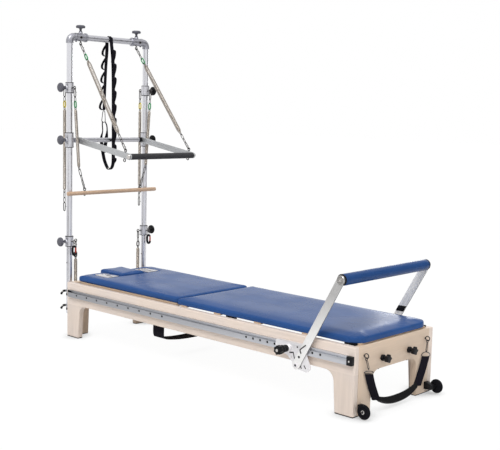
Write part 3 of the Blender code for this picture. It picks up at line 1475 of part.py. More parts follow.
def foot_strap_line():
    """The hanging foot strap's middle line in Y and Z."""
    points = []
    for step in range(4):
        share = step / 3
        points.append((-STRAP_TOP_PLACE + (STRAP_TOP_PLACE - STRAP_CORNER_PLACE) * share ** 1.2,
                       STRAP_TOP + (STRAP_CORNER_HEIGHT - STRAP_TOP) * share))
    count = 10
    for step in range(1, count):
        share = step / count * 2 - 1
        sag = 1 - abs(share) ** 2.4
        points.append((share * STRAP_CORNER_PLACE,
                       STRAP_CORNER_HEIGHT - (STRAP_CORNER_HEIGHT - STRAP_MIDDLE_HEIGHT) * sag))
    mirrored = [(-y, z) for y, z in points[:4]]
    return points + mirrored[::-1]


def build_foot_strap(strap, webbing):
    """The foot strap with the ring and snap hook at each end."""
    x = FRAME_LENGTH + STRAP_OUT
    line = foot_strap_line()
    low, high = x - STRAP_THICKNESS / 2, x + STRAP_THICKNESS / 2
    band = slab(ribbon(line, STRAP_WIDTH * 0.9), "X", low, high)
    shapes = [band]
    for side in SIDES.values():
        eye = Vector((FRAME_LENGTH + FOOT_EYE_OUT, side * FOOT_EYE_PLACE, FOOT_EYE_HEIGHT))
        hook = eye - Vector((0, 0, EYE_RADIUS + 0.0052))
        shapes.append(ring(hook + Vector((0.001, 0, 0)), (1, 0, 0), 0.0105, 0.002))
        top = Vector((x, side * STRAP_TOP_PLACE, STRAP_TOP + 0.018))
        shapes.append(rod(hook - Vector((-0.001, 0, 0.0105)), top, 0.003, 6))
        shapes.append(ring(top - Vector((0, 0, 0.012)), (1, 0, 0), 0.018, 0.0028))
    hang(solid("foot_strap", webbing, shapes), strap)


def build_star_knobs(root, plastic):
    pivots = {}
    for name, side in SIDES.items():
        place = Vector((FRAME_LENGTH, side * STAR_KNOB_PLACE, STAR_KNOB_HEIGHT))
        pivots[name] = pivot_at(f"star_knob_axis_{name}", place, root)
        start = FRAME_LENGTH + TOUCH
        collar = turned(((0, 0.014), (0.016, 0.012)), (start, place.y, place.z), (1, 0, 0), 10)
        stem = rod((start + 0.010, place.y, place.z),
                   (start + STAR_KNOB_LENGTH - 0.010, place.y, place.z), 0.008, 8)
        lobes = 5
        sides = lobes * 4
        outline = []
        for i in range(sides):
            angle = math.tau * i / sides
            radius = STAR_KNOB_RADIUS * (0.88 + 0.12 * math.cos(lobes * angle))
            outline.append((place.y + radius * math.cos(angle), place.z + radius * math.sin(angle)))
        head = slab(outline, "X", start + STAR_KNOB_LENGTH - 0.018, start + STAR_KNOB_LENGTH)
        piece = solid(f"star_knob_{name}", plastic, [collar, stem, head])
        centre_origin(piece, place)
        hang(piece, pivots[name])


def build_transport_wheels(root, rubber):
    for name, side in SIDES.items():
        centre = Vector((FRAME_LENGTH + TRANSPORT_WHEEL_OUT, side * TRANSPORT_WHEEL_PLACE,
                         TRANSPORT_WHEEL_HEIGHT))
        pivot = pivot_at(f"transport_axle_{name}", centre, root)
        half = TRANSPORT_WHEEL_WIDTH / 2
        radius = TRANSPORT_WHEEL_RADIUS
        profile = (
            (-half + 0.003, radius - 0.011),
            (-half, radius - 0.009),
            (-half + 0.003, radius),
            (half - 0.003, radius),
            (half, radius - 0.009),
            (half - 0.003, radius - 0.011),
        )
        wheel = turned(profile, centre, (0, side, 0), 16)
        hub = turned(((-half, 0.013), (half, 0.013)), centre, (0, side, 0), 10)
        reach = Vector((0, TRANSPORT_WHEEL_WIDTH, 0))
        bore = rod(centre - reach, centre + reach, TRANSPORT_AXLE_RADIUS + RUNNING, 12)
        piece = solid(f"transport_wheel_{name}", rubber, [wheel, hub], [bore])
        centre_origin(piece, centre)
        hang(piece, pivot)


def centre_over_origin(root):
    """Moves the whole object so that its footprint's middle is over the origin."""
    bpy.context.view_layer.update()
    graph = bpy.context.evaluated_depsgraph_get()
    low = Vector((math.inf,) * 3)
    high = -low
    for obj in bpy.context.scene.objects:
        if obj.type not in ("MESH", "CURVE"):
            continue
        evaluated = obj.evaluated_get(graph)
        mesh = evaluated.to_mesh()
        for vert in mesh.vertices:
            spot = evaluated.matrix_world @ vert.co
            for i in range(3):
                low[i] = min(low[i], spot[i])
                high[i] = max(high[i], spot[i])
        evaluated.to_mesh_clear()
    middle = (low + high) / 2
    root.location = (-middle.x, -middle.y, -low.z)
    print(f"moved by {-middle.x:.5f} {-middle.y:.5f} {-low.z:.5f} m")
    print("size", " ".join(f"{high[i] - low[i]:.4f}" for i in range(3)))


def main():
    clear_scene()
    maple = finish("maple", (0.76, 0.60, 0.44), 0.45, 0.0)
    plywood = finish("plywood", (0.62, 0.44, 0.28), 0.55, 0.0)
    vinyl = finish("blue_vinyl", (0.045, 0.085, 0.26), 0.35, 0.0)
    aluminium = finish("aluminium", (0.62, 0.63, 0.66), 0.35, 1.0)
    stainless = finish("stainless", (0.66, 0.65, 0.63), 0.22, 1.0)
    cast = finish("grey_casting", (0.42, 0.43, 0.45), 0.45, 0.8)
    black = finish("black_plastic", (0.02, 0.02, 0.022), 0.4, 0.0)
    foam = finish("foam_rubber", (0.045, 0.045, 0.05), 0.8, 0.0)
    nickel = finish("nickel_wire", (0.40, 0.36, 0.31), 0.3, 1.0)
    webbing = finish("black_webbing", (0.015, 0.015, 0.016), 0.85, 0.0)

    root = bpy.data.objects.new("reformer", None)
    bpy.context.scene.collection.objects.link(root)

    eye_x = UPRIGHT_X + EYE_REACH
    collar_z = SPRING_COLLAR_HEIGHT_ABOVE_FLOOR
    headrest_end = CARRIAGE_START - HEADREST_OVERHANG + HEADREST_LENGTH
    carriage = pivot_at("carriage", (CARRIAGE_START, 0, DECK_TOP), root)
    headrest = pivot_at("headrest_hinge", (headrest_end + HEADREST_FIT / 2, 0, PAD_TOP), carriage)
    mat = pivot_at("conversion_mat", (MAT_START, 0, MAT_BOTTOM), root)
    slider = pivot_at("footbar_slider", (PLUNGER_X, 0, HOLE_LINE), root)
    footbar = pivot_at("footbar_pivot", (PIVOT_X, 0, PIVOT_HEIGHT), slider)
    push_bar = pivot_at("push_bar_pivot", (PUSH_X, 0, BAR_COLLAR_ABOVE_FLOOR), root)
    collars = pivot_at("spring_collars", (UPRIGHT_X, 0, collar_z), root)
    roll_down = pivot_at("roll_down_pivot", (eye_x, 0, collar_z), collars)
    hanging = {}
    lower = {}
    lower_sliders = {}
    for name, side in SIDES.items():
        place = (UPRIGHT_X - EYE_REACH, side * UPRIGHT_HALF_SPACING, collar_z)
        hanging[name] = pivot_at(f"hanging_spring_pivot_{name}", place, collars)
        height = lower_collar_height(side)
        place = (UPRIGHT_X, side * UPRIGHT_HALF_SPACING, height)
        lower_sliders[name] = pivot_at(f"lower_collar_slider_{name}", place, root)
        place = (UPRIGHT_X, side * (UPRIGHT_HALF_SPACING - LOWER_EYE_REACH), height)
        lower[name] = pivot_at(f"lower_spring_pivot_{name}", place, lower_sliders[name])
    sling = pivot_at("trapeze_sling_axis", (UPRIGHT_X, 0, TOP_TUBE_HEIGHT), root)
    strap = pivot_at("foot_strap_pivot", (FRAME_LENGTH + FOOT_EYE_OUT, 0, FOOT_EYE_HEIGHT), root)

    build_frame(root, maple)
    build_rails(root, aluminium)
    build_deck(carriage, plywood)
    build_pads(carriage, headrest, mat, vinyl)
    build_mat_board(mat, plywood)
    build_carriage_wheels(carriage, black)
    build_footbar_plates(slider, stainless)
    build_footbar(footbar, stainless, vinyl)
    build_plungers(slider, black)
    build_tower_tubes(root, aluminium, cast)
    build_tower_clamps(root, black)
    build_spring_collars(collars, cast, black)
    build_bar_collars(root, cast, black)
    for name, side in SIDES.items():
        build_lower_collar(name, side, lower_sliders[name], cast, black)
    build_top_sleeves(root, cast)
    build_push_bar(push_bar, aluminium, foam)
    build_roll_down_bar(roll_down, maple)
    build_springs(root, roll_down, hanging, lower, nickel)
    build_trapeze_sling(sling, webbing)
    build_well_strap(root, webbing)
    build_foot_strap(strap, webbing)
    build_star_knobs(root, black)
    build_transport_wheels(root, foam)
    centre_over_origin(root)


main()
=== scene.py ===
"""Pilates reformer with a spring tower, dressed over its packed frame.

Metres. X runs from the head end with the tower to the foot end with the footbar, left is -Y, right is
+Y and up is +Z. Places along X are given from the head end's outer face.
"""

import json
import math

import bpy
from mathutils import Matrix, Vector

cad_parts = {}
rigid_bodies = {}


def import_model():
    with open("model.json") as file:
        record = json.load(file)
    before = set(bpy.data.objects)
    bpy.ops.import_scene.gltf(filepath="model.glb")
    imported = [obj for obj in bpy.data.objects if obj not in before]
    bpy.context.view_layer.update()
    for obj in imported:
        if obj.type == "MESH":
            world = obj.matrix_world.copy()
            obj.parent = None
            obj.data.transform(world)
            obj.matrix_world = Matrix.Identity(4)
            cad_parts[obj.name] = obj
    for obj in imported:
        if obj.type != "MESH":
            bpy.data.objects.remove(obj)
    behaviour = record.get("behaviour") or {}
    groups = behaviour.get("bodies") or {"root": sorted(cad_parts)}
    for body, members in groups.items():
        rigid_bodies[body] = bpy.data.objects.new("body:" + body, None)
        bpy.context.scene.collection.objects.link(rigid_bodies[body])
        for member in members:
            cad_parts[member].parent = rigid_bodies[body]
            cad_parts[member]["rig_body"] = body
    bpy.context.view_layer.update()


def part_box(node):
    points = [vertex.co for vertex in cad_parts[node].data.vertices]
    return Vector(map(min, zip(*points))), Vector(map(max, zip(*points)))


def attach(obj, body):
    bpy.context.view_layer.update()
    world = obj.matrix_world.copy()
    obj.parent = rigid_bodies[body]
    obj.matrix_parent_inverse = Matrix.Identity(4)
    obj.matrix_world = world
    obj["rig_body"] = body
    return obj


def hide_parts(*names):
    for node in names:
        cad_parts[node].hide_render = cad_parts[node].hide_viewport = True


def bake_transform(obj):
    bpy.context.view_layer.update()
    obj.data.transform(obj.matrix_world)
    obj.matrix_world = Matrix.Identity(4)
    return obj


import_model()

bl_info = {
    "name": "Pilates reformer with tower",
    "version": (1, 0, 0),
    "blender": (4, 5, 0),
    "location": "View3D > Sidebar > Reformer",
    "description": "Builds the visible pieces of a pilates reformer with a spring tower",
    "category": "Object",
}

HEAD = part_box("head_frame")[0].x
SIDES = (("left", -1), ("right", 1))
WHITE = (1, 1, 1, 1)

# Camera
CAMERA_PLACE = (4.949, -4.008, 1.47)
CAMERA_TURN = (83.161, -1.421, 42.823)
CAMERA_LENS = 69.2

# Frame
FRAME_LENGTH = 2.28
HALF_WIDTH = 0.345
FRAME_TOP = 0.349
BOARD_BOTTOM = 0.211
TIMBER = 0.036
INNER = HALF_WIDTH - TIMBER
LEG_BOTTOM = 0.004
ARCH_RADIUS = 0.055
RAIL_LOW, RAIL_TOP = 0.26125, 0.30575
HOLE_Z = 0.28075
WELL_X = 0.8335
FOOT_EYE_Y, FOOT_EYE_Z = 0.271, 0.3
STAR_Y, STAR_Z = 0.118, 0.264

# Carriage and mat
DECK_LOW, DECK_TOP = 0.3387, 0.3567
WHEEL_PLACES = (("head", 0.222), ("foot", 0.825))
WHEEL_Y, WHEEL_Z = 0.2925, 0.3002
SOCKET_X, SOCKET_Y = 0.2025, 0.168
PAD_LOW, PAD_TOP = 0.357, 0.397
MAT_START, MAT_END = 0.99, 2.28
MAT_LOW, MAT_TOP = 0.3578, 0.3978
MAT_HALF = 0.322
MAT_CORNER = 0.078

# Footbar
PLUNGER_X = 1.882
PIVOT_X, PIVOT_Z = 1.94, 0.202
FOOTBAR_X, FOOTBAR_Z = 2.2027, 0.6722
FOOTBAR_LEAN = math.radians(29.2)
PLATE_INNER, PLATE_OUTER = 0.3645, 0.3695
ARM_INNER, ARM_OUTER = 0.3705, 0.3775

# Tower
UPRIGHT_X = -0.0228
UPRIGHT_Y = 0.3125
TUBE = 0.019
TOP_TUBE_Z = 1.896
SLEEVE_Y = 0.229
SPRING_COLLAR_Z = 1.579
BAR_COLLAR_Z = 1.252
LOWER_COLLAR_Z = {"left": 0.608, "right": 0.632}
EYE_REACH = 0.052
SIDE_EYE_REACH = 0.05
SLEEVE_EYE_DROP = 0.04
COLLAR_RADIUS = 0.0265
PUSH_X = 0.002
PUSH_DROP = math.radians(9.1)
PUSH_LENGTH = 0.507
PUSH_EYE, PUSH_EYE_RISE = 0.465, 0.03
PUSH_ARM_Y = 0.262
DOWEL_Y, DOWEL_Z = 0.2325, 0.917
DOWEL_TOP = 0.0125
DOWEL_EYE_REACH = 0.0115


def at(x, y, z):
    """A point given from the head end's outer face."""
    return Vector((HEAD + x, y, z))


def up(distance):
    return Vector((0, 0, distance))


def from_head(outline):
    """Moves an outline whose first axis is X to its place from the head end's outer face."""
    return [(HEAD + x, other) for x, other in outline]


def on_side(side, near, far):
    """Two distances from the middle plane, as a rising range of Y on one side."""
    return sorted((side * near, side * far))


def clipped(share):
    return min(1.0, max(0.0, share))


# The tools of modelling by hand


def deselect():
    if bpy.context.mode != "OBJECT":
        bpy.ops.object.mode_set(mode="OBJECT")
    bpy.ops.object.select_all(action="DESELECT")


def pick(*pieces):
    deselect()
    for piece in pieces:
        piece.select_set(True)
    bpy.context.view_layer.objects.active = pieces[0]


def opened(piece):
    """Opens a piece in edit mode with all of it selected."""
    pick(piece)
    bpy.ops.object.mode_set(mode="EDIT")
    bpy.ops.mesh.select_all(action="SELECT")


def settle(piece, matrix=None):
    """Leaves a piece's object at the origin with its place in its mesh."""
    if matrix is not None:
        piece.matrix_world = matrix
    pick(piece)
    bpy.ops.object.transform_apply(location=True, rotation=True, scale=True)
    return piece


def aimed(piece, place, direction):
    """Turns a piece from +Z to a direction and moves it."""
    aim = Vector((0, 0, 1)).rotation_difference(Vector(direction)).to_matrix().to_4x4()
    return settle(piece, Matrix.Translation(Vector(place)) @ aim)


def applied(piece, kind, **settings):
    """Adds a modifier and applies it."""
    pick(piece)
    bpy.ops.object.modifier_add(type=kind)
    modifier = piece.modifiers[-1]
    for key, value in settings.items():
        setattr(modifier, key, value)
    bpy.ops.object.modifier_apply(modifier=modifier.name)
    return piece


def eased(piece, width, segments=2, least=30.0):
    """Rounds a piece's sharp edges."""
    return applied(piece, "BEVEL", width=width, segments=segments, limit_method="ANGLE",
                   angle_limit=math.radians(least), miter_outer="MITER_ARC", use_clamp_overlap=True)


def outward(piece):
    """Turns all faces outwards."""
    opened(piece)
    bpy.ops.mesh.normals_make_consistent(inside=False)
    bpy.ops.object.mode_set(mode="OBJECT")
    return piece


def block(low, high, edge=0.0, segments=2):
    """A block between two corners with eased edges."""
    low, high = Vector(low), Vector(high)
    deselect()
    bpy.ops.mesh.primitive_cube_add(size=1.0, location=(low + high) / 2)
    piece = bpy.context.object
    piece.scale = [abs(size) for size in high - low]
    settle(piece)
    return eased(piece, edge, segments) if edge else piece


def side_block(side, x, y, z, edge=0.0, segments=2):
    """A block on one side, given by ranges from the head end, the middle plane and the floor."""
    return block(at(x[0], side * y[0], z[0]), at(x[1], side * y[1], z[1]), edge, segments)


def slab(outline, axis, low, high, edge=0.0, segments=2):
    """A flat outline, in the two other axes, grown along X, Y or Z."""
    deselect()
    bpy.ops.mesh.primitive_circle_add(vertices=len(outline), radius=1.0, fill_type="NGON")
    piece = bpy.context.object
    turn = {"X": lambda a, b, c: (c, a, b), "Y": lambda a, b, c: (a, c, b),
            "Z": lambda a, b, c: (a, b, c)}[axis]
    for vert, (a, b) in zip(piece.data.vertices, outline):
        vert.co = turn(a, b, low)
    opened(piece)
    bpy.ops.mesh.extrude_region_move(TRANSFORM_OT_translate={"value": turn(0, 0, high - low)})
    outward(piece)
    return eased(piece, edge, segments) if edge else piece


def turned(profile, base, direction, sides):
    """A round piece: a circle grown through (distance along, radius) steps, then stood on its axis."""
    deselect()
    along, radius = profile[0]
    bpy.ops.mesh.primitive_circle_add(vertices=sides, radius=radius, fill_type="NGON",
                                      location=(0, 0, along))
    piece = settle(bpy.context.object)
    opened(piece)
    for further, wide in profile[1:]:
        bpy.ops.mesh.extrude_region_move(TRANSFORM_OT_translate={"value": (0, 0, further - along)})
        if abs(wide - radius) > 1e-7:
            share = wide / radius
            bpy.ops.transform.resize(value=(share, share, 1), center_override=(0, 0, further))
        along, radius = further, wide
    outward(piece)
    return aimed(piece, base, direction)


def outwards(profile, side, x, y, z, sides):
    """A round piece on one side that points away from the middle plane."""
    return turned(profile, at(x, side * y, z), (0, side, 0), sides)


def bar(start, end, radius, sides, edge=0.0):
    """A round bar with eased ends."""
    start, end = Vector(start), Vector(end)
    length = (end - start).length
    if edge:
        profile = ((0, radius - edge), (edge, radius), (length - edge, radius), (length, radius - edge))
    else:
        profile = ((0, radius), (length, radius))
    return turned(profile, start, end - start, sides)


def crossbar(side, x, z, y, radius, sides, edge=0.0):
    """A round bar parallel to Y between two distances from the middle plane."""
    return bar(at(x, side * y[0], z), at(x, side * y[1], z), radius, sides, edge)


def hoop(centre, normal, radius, gauge):
    """A closed ring of wire."""
    deselect()
    bpy.ops.mesh.primitive_torus_add(major_radius=radius, minor_radius=gauge, major_segments=28,
                                     minor_segments=10)
    return aimed(bpy.context.object, centre, normal)


def wire(points, radius, sides, closed=False, smooth=True):
    """Round wire or tube along points."""
    deselect()
    bpy.ops.curve.primitive_nurbs_path_add()
    piece = bpy.context.object
    curve = piece.data
    curve.splines.clear()
    curve.dimensions = "3D"
    spline = curve.splines.new("NURBS" if smooth else "POLY")
    spline.points.add(len(points) - 1)
    for target, point in zip(spline.points, points):
        target.co = (*point, 1.0)
    if smooth:
        spline.order_u = 3
        spline.use_endpoint_u = not closed
        spline.resolution_u = 4
    spline.use_cyclic_u = closed
    curve.bevel_depth = radius
    curve.bevel_resolution = max(0, sides // 2 - 2)
    curve.use_fill_caps = True
    settle(piece)
    bpy.ops.object.convert(target="MESH")
    return bpy.context.object


def smooth_line(points, steps):
    """More points on a smooth curve through the given ones."""
    fine = []
    count = len(points)
    for i in range(count - 1):
        a, b = points[max(i - 1, 0)], points[i]
        c, d = points[i + 1], points[min(i + 2, count - 1)]
        for step in range(steps):
            t = step / steps
            fine.append(0.5 * ((2 * b) + (c - a) * t + (2 * a - 5 * b + 4 * c - d) * t * t
                               + (3 * b - a - 3 * c + d) * t ** 3))
    return fine + [points[-1]]


def strap(line, across, width, thickness, rows=3, soft=0):
    """A flat band laid along a line. Across is its width's direction; width may change along it."""
    run = [0.0]
    for a, b in zip(line, line[1:]):
        run.append(run[-1] + (b - a).length)
    length = run[-1]
    wide_at = width if callable(width) else lambda share: width
    across_at = across if callable(across) else lambda share: Vector(across)
    deselect()
    bpy.ops.mesh.primitive_grid_add(x_subdivisions=len(line) - 1, y_subdivisions=rows, size=1.0)
    piece = bpy.context.object
    for vert in piece.data.vertices:
        share, side = vert.co.x + 0.5, vert.co.y
        target = share * length
        i = min(max(sum(1 for value in run if value <= target + 1e-9) - 1, 0), len(line) - 2)
        t = (target - run[i]) / max(run[i + 1] - run[i], 1e-9)
        spot = line[i].lerp(line[i + 1], clipped(t))
        vert.co = spot + across_at(share).normalized() * side * wide_at(share)
    for loop in piece.data.uv_layers.active.data:
        loop.uv = (loop.uv[0] * length, loop.uv[1] * wide_at(0.5))
    applied(piece, "SOLIDIFY", thickness=thickness, offset=0.0, use_even_offset=True)
    if soft:
        return applied(piece, "SUBSURF", levels=soft, render_levels=soft)
    return eased(piece, thickness * 0.3, 1, 60)


def cut(piece, cutter):
    """Cuts one shape out of a piece."""
    applied(piece, "BOOLEAN", operation="DIFFERENCE", solver="EXACT", object=cutter)
    bpy.data.objects.remove(cutter, do_unlink=True)
    return piece


def joined(parts):
    pick(*parts)
    if len(parts) > 1:
        bpy.ops.object.join()
    return parts[0]


def placed(name, parts, body, finish_name, node=None, angle=35.0):
    """Joins parts into one named piece, smooths and finishes it, and lets it ride on its body.

    A piece that stands for a node of the CAD also takes that node's slot.
    """
    piece = joined(parts if isinstance(parts, list) else [parts])
    piece.name = name
    piece.data.name = name
    pick(piece)
    bpy.ops.object.shade_smooth_by_angle(angle=math.radians(angle))
    piece.data.materials.clear()
    piece.data.materials.append(finish(finish_name))
    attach(piece, body)
    if node:
        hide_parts(node)
    return piece


# Outlines


def rounded(points, radii, steps=8):
    """A closed outline whose corners are arcs; a radius of 0 leaves a corner sharp."""
    outline = []
    count = len(points)
    for i, (point, radius) in enumerate(zip(points, radii)):
        here = Vector(point)
        if radius <= 0:
            outline.append(here)
            continue
        before = (Vector(points[i - 1]) - here).normalized()
        after = (Vector(points[(i + 1) % count]) - here).normalized()
        half = before.angle(after) / 2
        centre = here + (before + after).normalized() * (radius / math.sin(half))
        first = here + before * (radius / math.tan(half)) - centre
        last = here + after * (radius / math.tan(half)) - centre
        turn = first.angle_signed(last)
        for step in range(steps + 1):
            outline.append(centre + Matrix.Rotation(-turn * step / steps, 2) @ first)
    return outline


def oblong(x, y, radius, steps=8):
    """A rounded rectangle's outline between ranges in its two axes."""
    points = [(x[0], y[0]), (x[1], y[0]), (x[1], y[1]), (x[0], y[1])]
    radii = radius if isinstance(radius, tuple) else [radius] * 4
    return rounded(points, radii, steps)


def link_outline(start, end, half_width, steps=12):
    """A flat bar's outline with round ends."""
    a, b = Vector(start), Vector(end)
    lean = math.atan2(b.y - a.y, b.x - a.x)
    outline = []
    for centre, base in ((a, math.pi / 2), (b, -math.pi / 2)):
        for step in range(steps + 1):
            angle = lean + base + math.pi * step / steps
            outline.append(centre + Vector((math.cos(angle), math.sin(angle))) * half_width)
    return outline


def disc(centre, radius):
    """A circle's outline."""
    steps = 24
    return [Vector((centre[0] + radius * math.cos(math.tau * i / steps),
                    centre[1] + radius * math.sin(math.tau * i / steps))) for i in range(steps)]


def star(radius, lobes, start, low, high, depth):
    """A lobed hand wheel's body with eased edges, grown along X."""
    outline = []
    steps = lobes * 10
    for i in range(steps):
        angle = math.tau * i / steps
        wide = radius * (1 - depth + depth * math.cos(lobes * angle))
        outline.append((start.y + wide * math.cos(angle), start.z + wide * math.sin(angle)))
    return slab(outline, "X", start.x + low, start.x + high, 0.002, 3)


# Finishes


def put(tree, kind, inputs=None, **settings):
    """A shader node with its settings, and its inputs set or linked."""
    made = tree.nodes.new("ShaderNode" + kind)
    for key, value in settings.items():
        setattr(made, key, value)
    for key, value in (inputs or {}).items():
        if isinstance(value, bpy.types.NodeSocket):
            tree.links.new(value, made.inputs[key])
        else:
            made.inputs[key].default_value = value
    return made


def started(name, colour, roughness, metallic=0.0, specular=None):
    """A material with its plain values, its nodes and its shader."""
    material = bpy.data.materials.new(name)
    material.use_nodes = True
    tree = material.node_tree
    shader = tree.nodes["Principled BSDF"]
    shader.inputs["Base Color"].default_value = (*colour, 1.0)
    shader.inputs["Roughness"].default_value = roughness
    shader.inputs["Metallic"].default_value = metallic
    if specular is not None:
        shader.inputs["Specular IOR Level"].default_value = specular
    return material, tree, shader


def dressed(made, colour, roughness, height, strength, distance):
    """Gives a started material its patterns: colour, roughness and relief."""
    material, tree, shader = made
    bump = put(tree, "Bump", {"Height": height, "Strength": strength, "Distance": distance})
    values = {"Base Color": colour, "Roughness": roughness, "Normal": bump.outputs["Normal"]}
    for socket, value in values.items():
        tree.links.new(value, shader.inputs[socket])
    return material


def place_of(tree, scale=(1, 1, 1), source="Object"):
    """Object coordinates, or the piece's own UV map, with a pattern's scale along each axis."""
    coordinates = put(tree, "TexCoord").outputs[source]
    return put(tree, "Mapping", {"Vector": coordinates, "Scale": scale}).outputs["Vector"]


def axis_of(tree, axis):
    """Each point's place along one axis."""
    coordinates = put(tree, "TexCoord").outputs["Object"]
    return put(tree, "SeparateXYZ", {"Vector": coordinates}).outputs[axis]


def reckoned(tree, operation, *values):
    return put(tree, "Math", dict(enumerate(values)), operation=operation).outputs[0]


def grain(tree, vector, scale, detail=4.0, distortion=0.0):
    return put(tree, "TexNoise", {"Vector": vector, "Scale": scale, "Detail": detail,
                                            "Distortion": distortion}).outputs["Fac"]


def bands(tree, vector, scale, distortion, detail, direction):
    inputs = {"Vector": vector, "Scale": scale, "Distortion": distortion, "Detail": detail}
    return put(tree, "TexWave", inputs, wave_type="BANDS", bands_direction=direction).outputs["Fac"]


def spread(tree, value, low, high, wide=(0.3, 0.7)):
    """Maps the middle of a pattern's values to a range."""
    return put(tree, "MapRange", {"Value": value, "From Min": wide[0], "From Max": wide[1],
                                            "To Min": low, "To Max": high}).outputs["Result"]


def blended(tree, factor, first, second, **settings):
    """From a first to a second colour by a factor. Each colour is a socket or its channels."""
    inputs = {0: factor}
    for key, value in ((6, first), (7, second)):
        inputs[key] = value if isinstance(value, bpy.types.NodeSocket) else (*value[:3], 1.0)
    return put(tree, "Mix", inputs, data_type="RGBA", **settings).outputs[2]


def darker(colour, share):
    return tuple(channel * share for channel in colour)


def patchy(tree, pattern, colour, share):
    """A colour that a pattern darkens to a share of itself."""
    return blended(tree, spread(tree, pattern, 0.0, 1.0), darker(colour, share), colour)


def wood(name, colour, along, leg_top=None, leg_tone=0.92):
    """Pale lacquered hardwood, its grain along one axis, and upright in legs below a height."""
    made = started(name, colour, 0.42)
    tree = made[1]
    scales = {"X": (2.2, 60, 60), "Y": (60, 2.2, 60), "Z": (60, 60, 2.2)}
    vector = place_of(tree, scales[along])
    if leg_top is not None:
        in_leg = reckoned(tree, "LESS_THAN", axis_of(tree, "Z"), leg_top)
        vector = put(tree, "Mix", {0: in_leg, 4: vector, 5: place_of(tree, scales["Z"])},
                     data_type="VECTOR").outputs[1]
    fine = grain(tree, vector, 3.2, 5.0, 0.3)
    tone = patchy(tree, grain(tree, vector, 0.55, 3.0, 0.8), colour, 0.9)
    tone = blended(tree, spread(tree, fine, 0.25, 0.0, (0.45, 0.75)), tone, darker(colour, 0.66))
    warm = (colour[0], colour[1] * 0.95, colour[2] * 0.86)
    tone = blended(tree, spread(tree, grain(tree, place_of(tree), 5.0, 2.0), 0.0, 0.35), tone, warm)
    if leg_top is not None:
        tone = blended(tree, 1.0, tone, reckoned(tree, "MULTIPLY_ADD", in_leg, leg_tone - 1.0, 1.0),
                       blend_type="MULTIPLY")
    return dressed(made, tone, spread(tree, fine, 0.36, 0.52), fine, 0.12, 0.0004)


def plies(name, colour):
    """Birch plywood whose thin layers show on its edges."""
    made = started(name, colour, 0.5)
    tree = made[1]
    layers = bands(tree, place_of(tree), 95.0, 0.6, 2.0, "Z")
    fine = grain(tree, place_of(tree, (3, 70, 3)), 2.0, 5.0, 0.4)
    tone = blended(tree, spread(tree, layers, 0.0, 0.8, (0.2, 0.8)), colour, darker(colour, 0.55))
    tone = blended(tree, spread(tree, fine, 0.0, 0.3), tone, darker(colour, 0.75))
    return dressed(made, tone, spread(tree, fine, 0.45, 0.6), layers, 0.1, 0.0003)


def vinyl(name, colour, roughness=0.27):
    """Upholstery vinyl: fine leather grain, a soft sheen and slow changes of tone."""
    made = started(name, colour, roughness, specular=0.085)
    tree = made[1]
    cells = put(tree, "TexVoronoi", {"Vector": place_of(tree), "Scale": 620.0},
                feature="DISTANCE_TO_EDGE").outputs["Distance"]
    soft = grain(tree, place_of(tree, (3.0, 9.0, 3.0)), 1.0, 1.0)
    sheen = spread(tree, grain(tree, place_of(tree), 6.0, 1.0), roughness - 0.04, roughness + 0.05)
    return dressed(made, patchy(tree, soft, colour, 0.88), sheen, cells, 0.008, 0.0003)


def arm_shade(tree, tone, colour):
    """The footbar arms' outer faces darken upwards, and their edges are dark."""
    across = reckoned(tree, "ABSOLUTE", axis_of(tree, "Y"))
    middle, half = (ARM_INNER + ARM_OUTER) / 2, 0.0026
    height = spread(tree, axis_of(tree, "Z"), 0.0, 1.0, (0.34, 0.6))
    outside = reckoned(tree, "MULTIPLY", height, reckoned(tree, "GREATER_THAN", across, middle))
    tone = blended(tree, outside, tone, darker(colour, 0.5))
    return blended(tree, reckoned(tree, "COMPARE", across, middle, half), tone, darker(colour, 0.22))


def rail_shade(tree, tone, colour):
    """The slide rails are darker towards the head end."""
    share = spread(tree, axis_of(tree, "X"), 0.0, 1.0, (HEAD, HEAD + 1.9))
    return blended(tree, share, darker(colour, 0.55), tone)


def brushed(name, colour, roughness, along, strength, turn=(0, 0, 0), metallic=1.0, shade=None):
    """Metal with fine brush lines along one axis, or along a turned one."""
    made = started(name, colour, roughness, metallic)
    tree = made[1]
    scales = {"X": (6, 700, 700), "Y": (700, 6, 700), "Z": (700, 700, 6)}
    vector = put(tree, "TexCoord").outputs["Object"]
    for step in ({"Rotation": turn}, {"Scale": scales[along]}):
        vector = put(tree, "Mapping", {"Vector": vector, **step}).outputs["Vector"]
    lines = grain(tree, vector, 1.0, 3.0)
    cloud = grain(tree, place_of(tree), 14.0, 3.0)
    tone = patchy(tree, lines, colour, 0.92)
    # A shade function paints light and shade into the tone.
    if shade:
        tone = shade(tree, tone, colour)
    rough = reckoned(tree, "ADD", spread(tree, lines, -0.05, 0.05),
                     spread(tree, cloud, roughness - 0.03, roughness + 0.05))
    return dressed(made, tone, rough, lines, strength, 0.0002)


def speckled(name, colour, roughness, metallic, scale, strength, change=0.85, specular=0.3):
    """A moulded, cast or sprayed finish with a fine even grain and slow changes of tone."""
    made = started(name, colour, roughness, metallic, specular)
    tree = made[1]
    fine = grain(tree, place_of(tree), scale, 2.0)
    cloud = grain(tree, place_of(tree), 22.0, 3.0)
    return dressed(made, patchy(tree, cloud, colour, change),
                   spread(tree, cloud, roughness - 0.06, roughness + 0.08), fine, strength, 0.0003)


def cellular(name, colour):
    """Closed-cell foam with small pores."""
    made = started(name, colour, 0.8)
    tree = made[1]
    pores = put(tree, "TexVoronoi", {"Vector": place_of(tree), "Scale": 480.0}).outputs["Distance"]
    return dressed(made, patchy(tree, grain(tree, place_of(tree), 35.0, 3.0), colour, 0.78),
                   spread(tree, pores, 0.9, 0.7, (0.1, 0.6)), pores, 0.35, 0.0006)


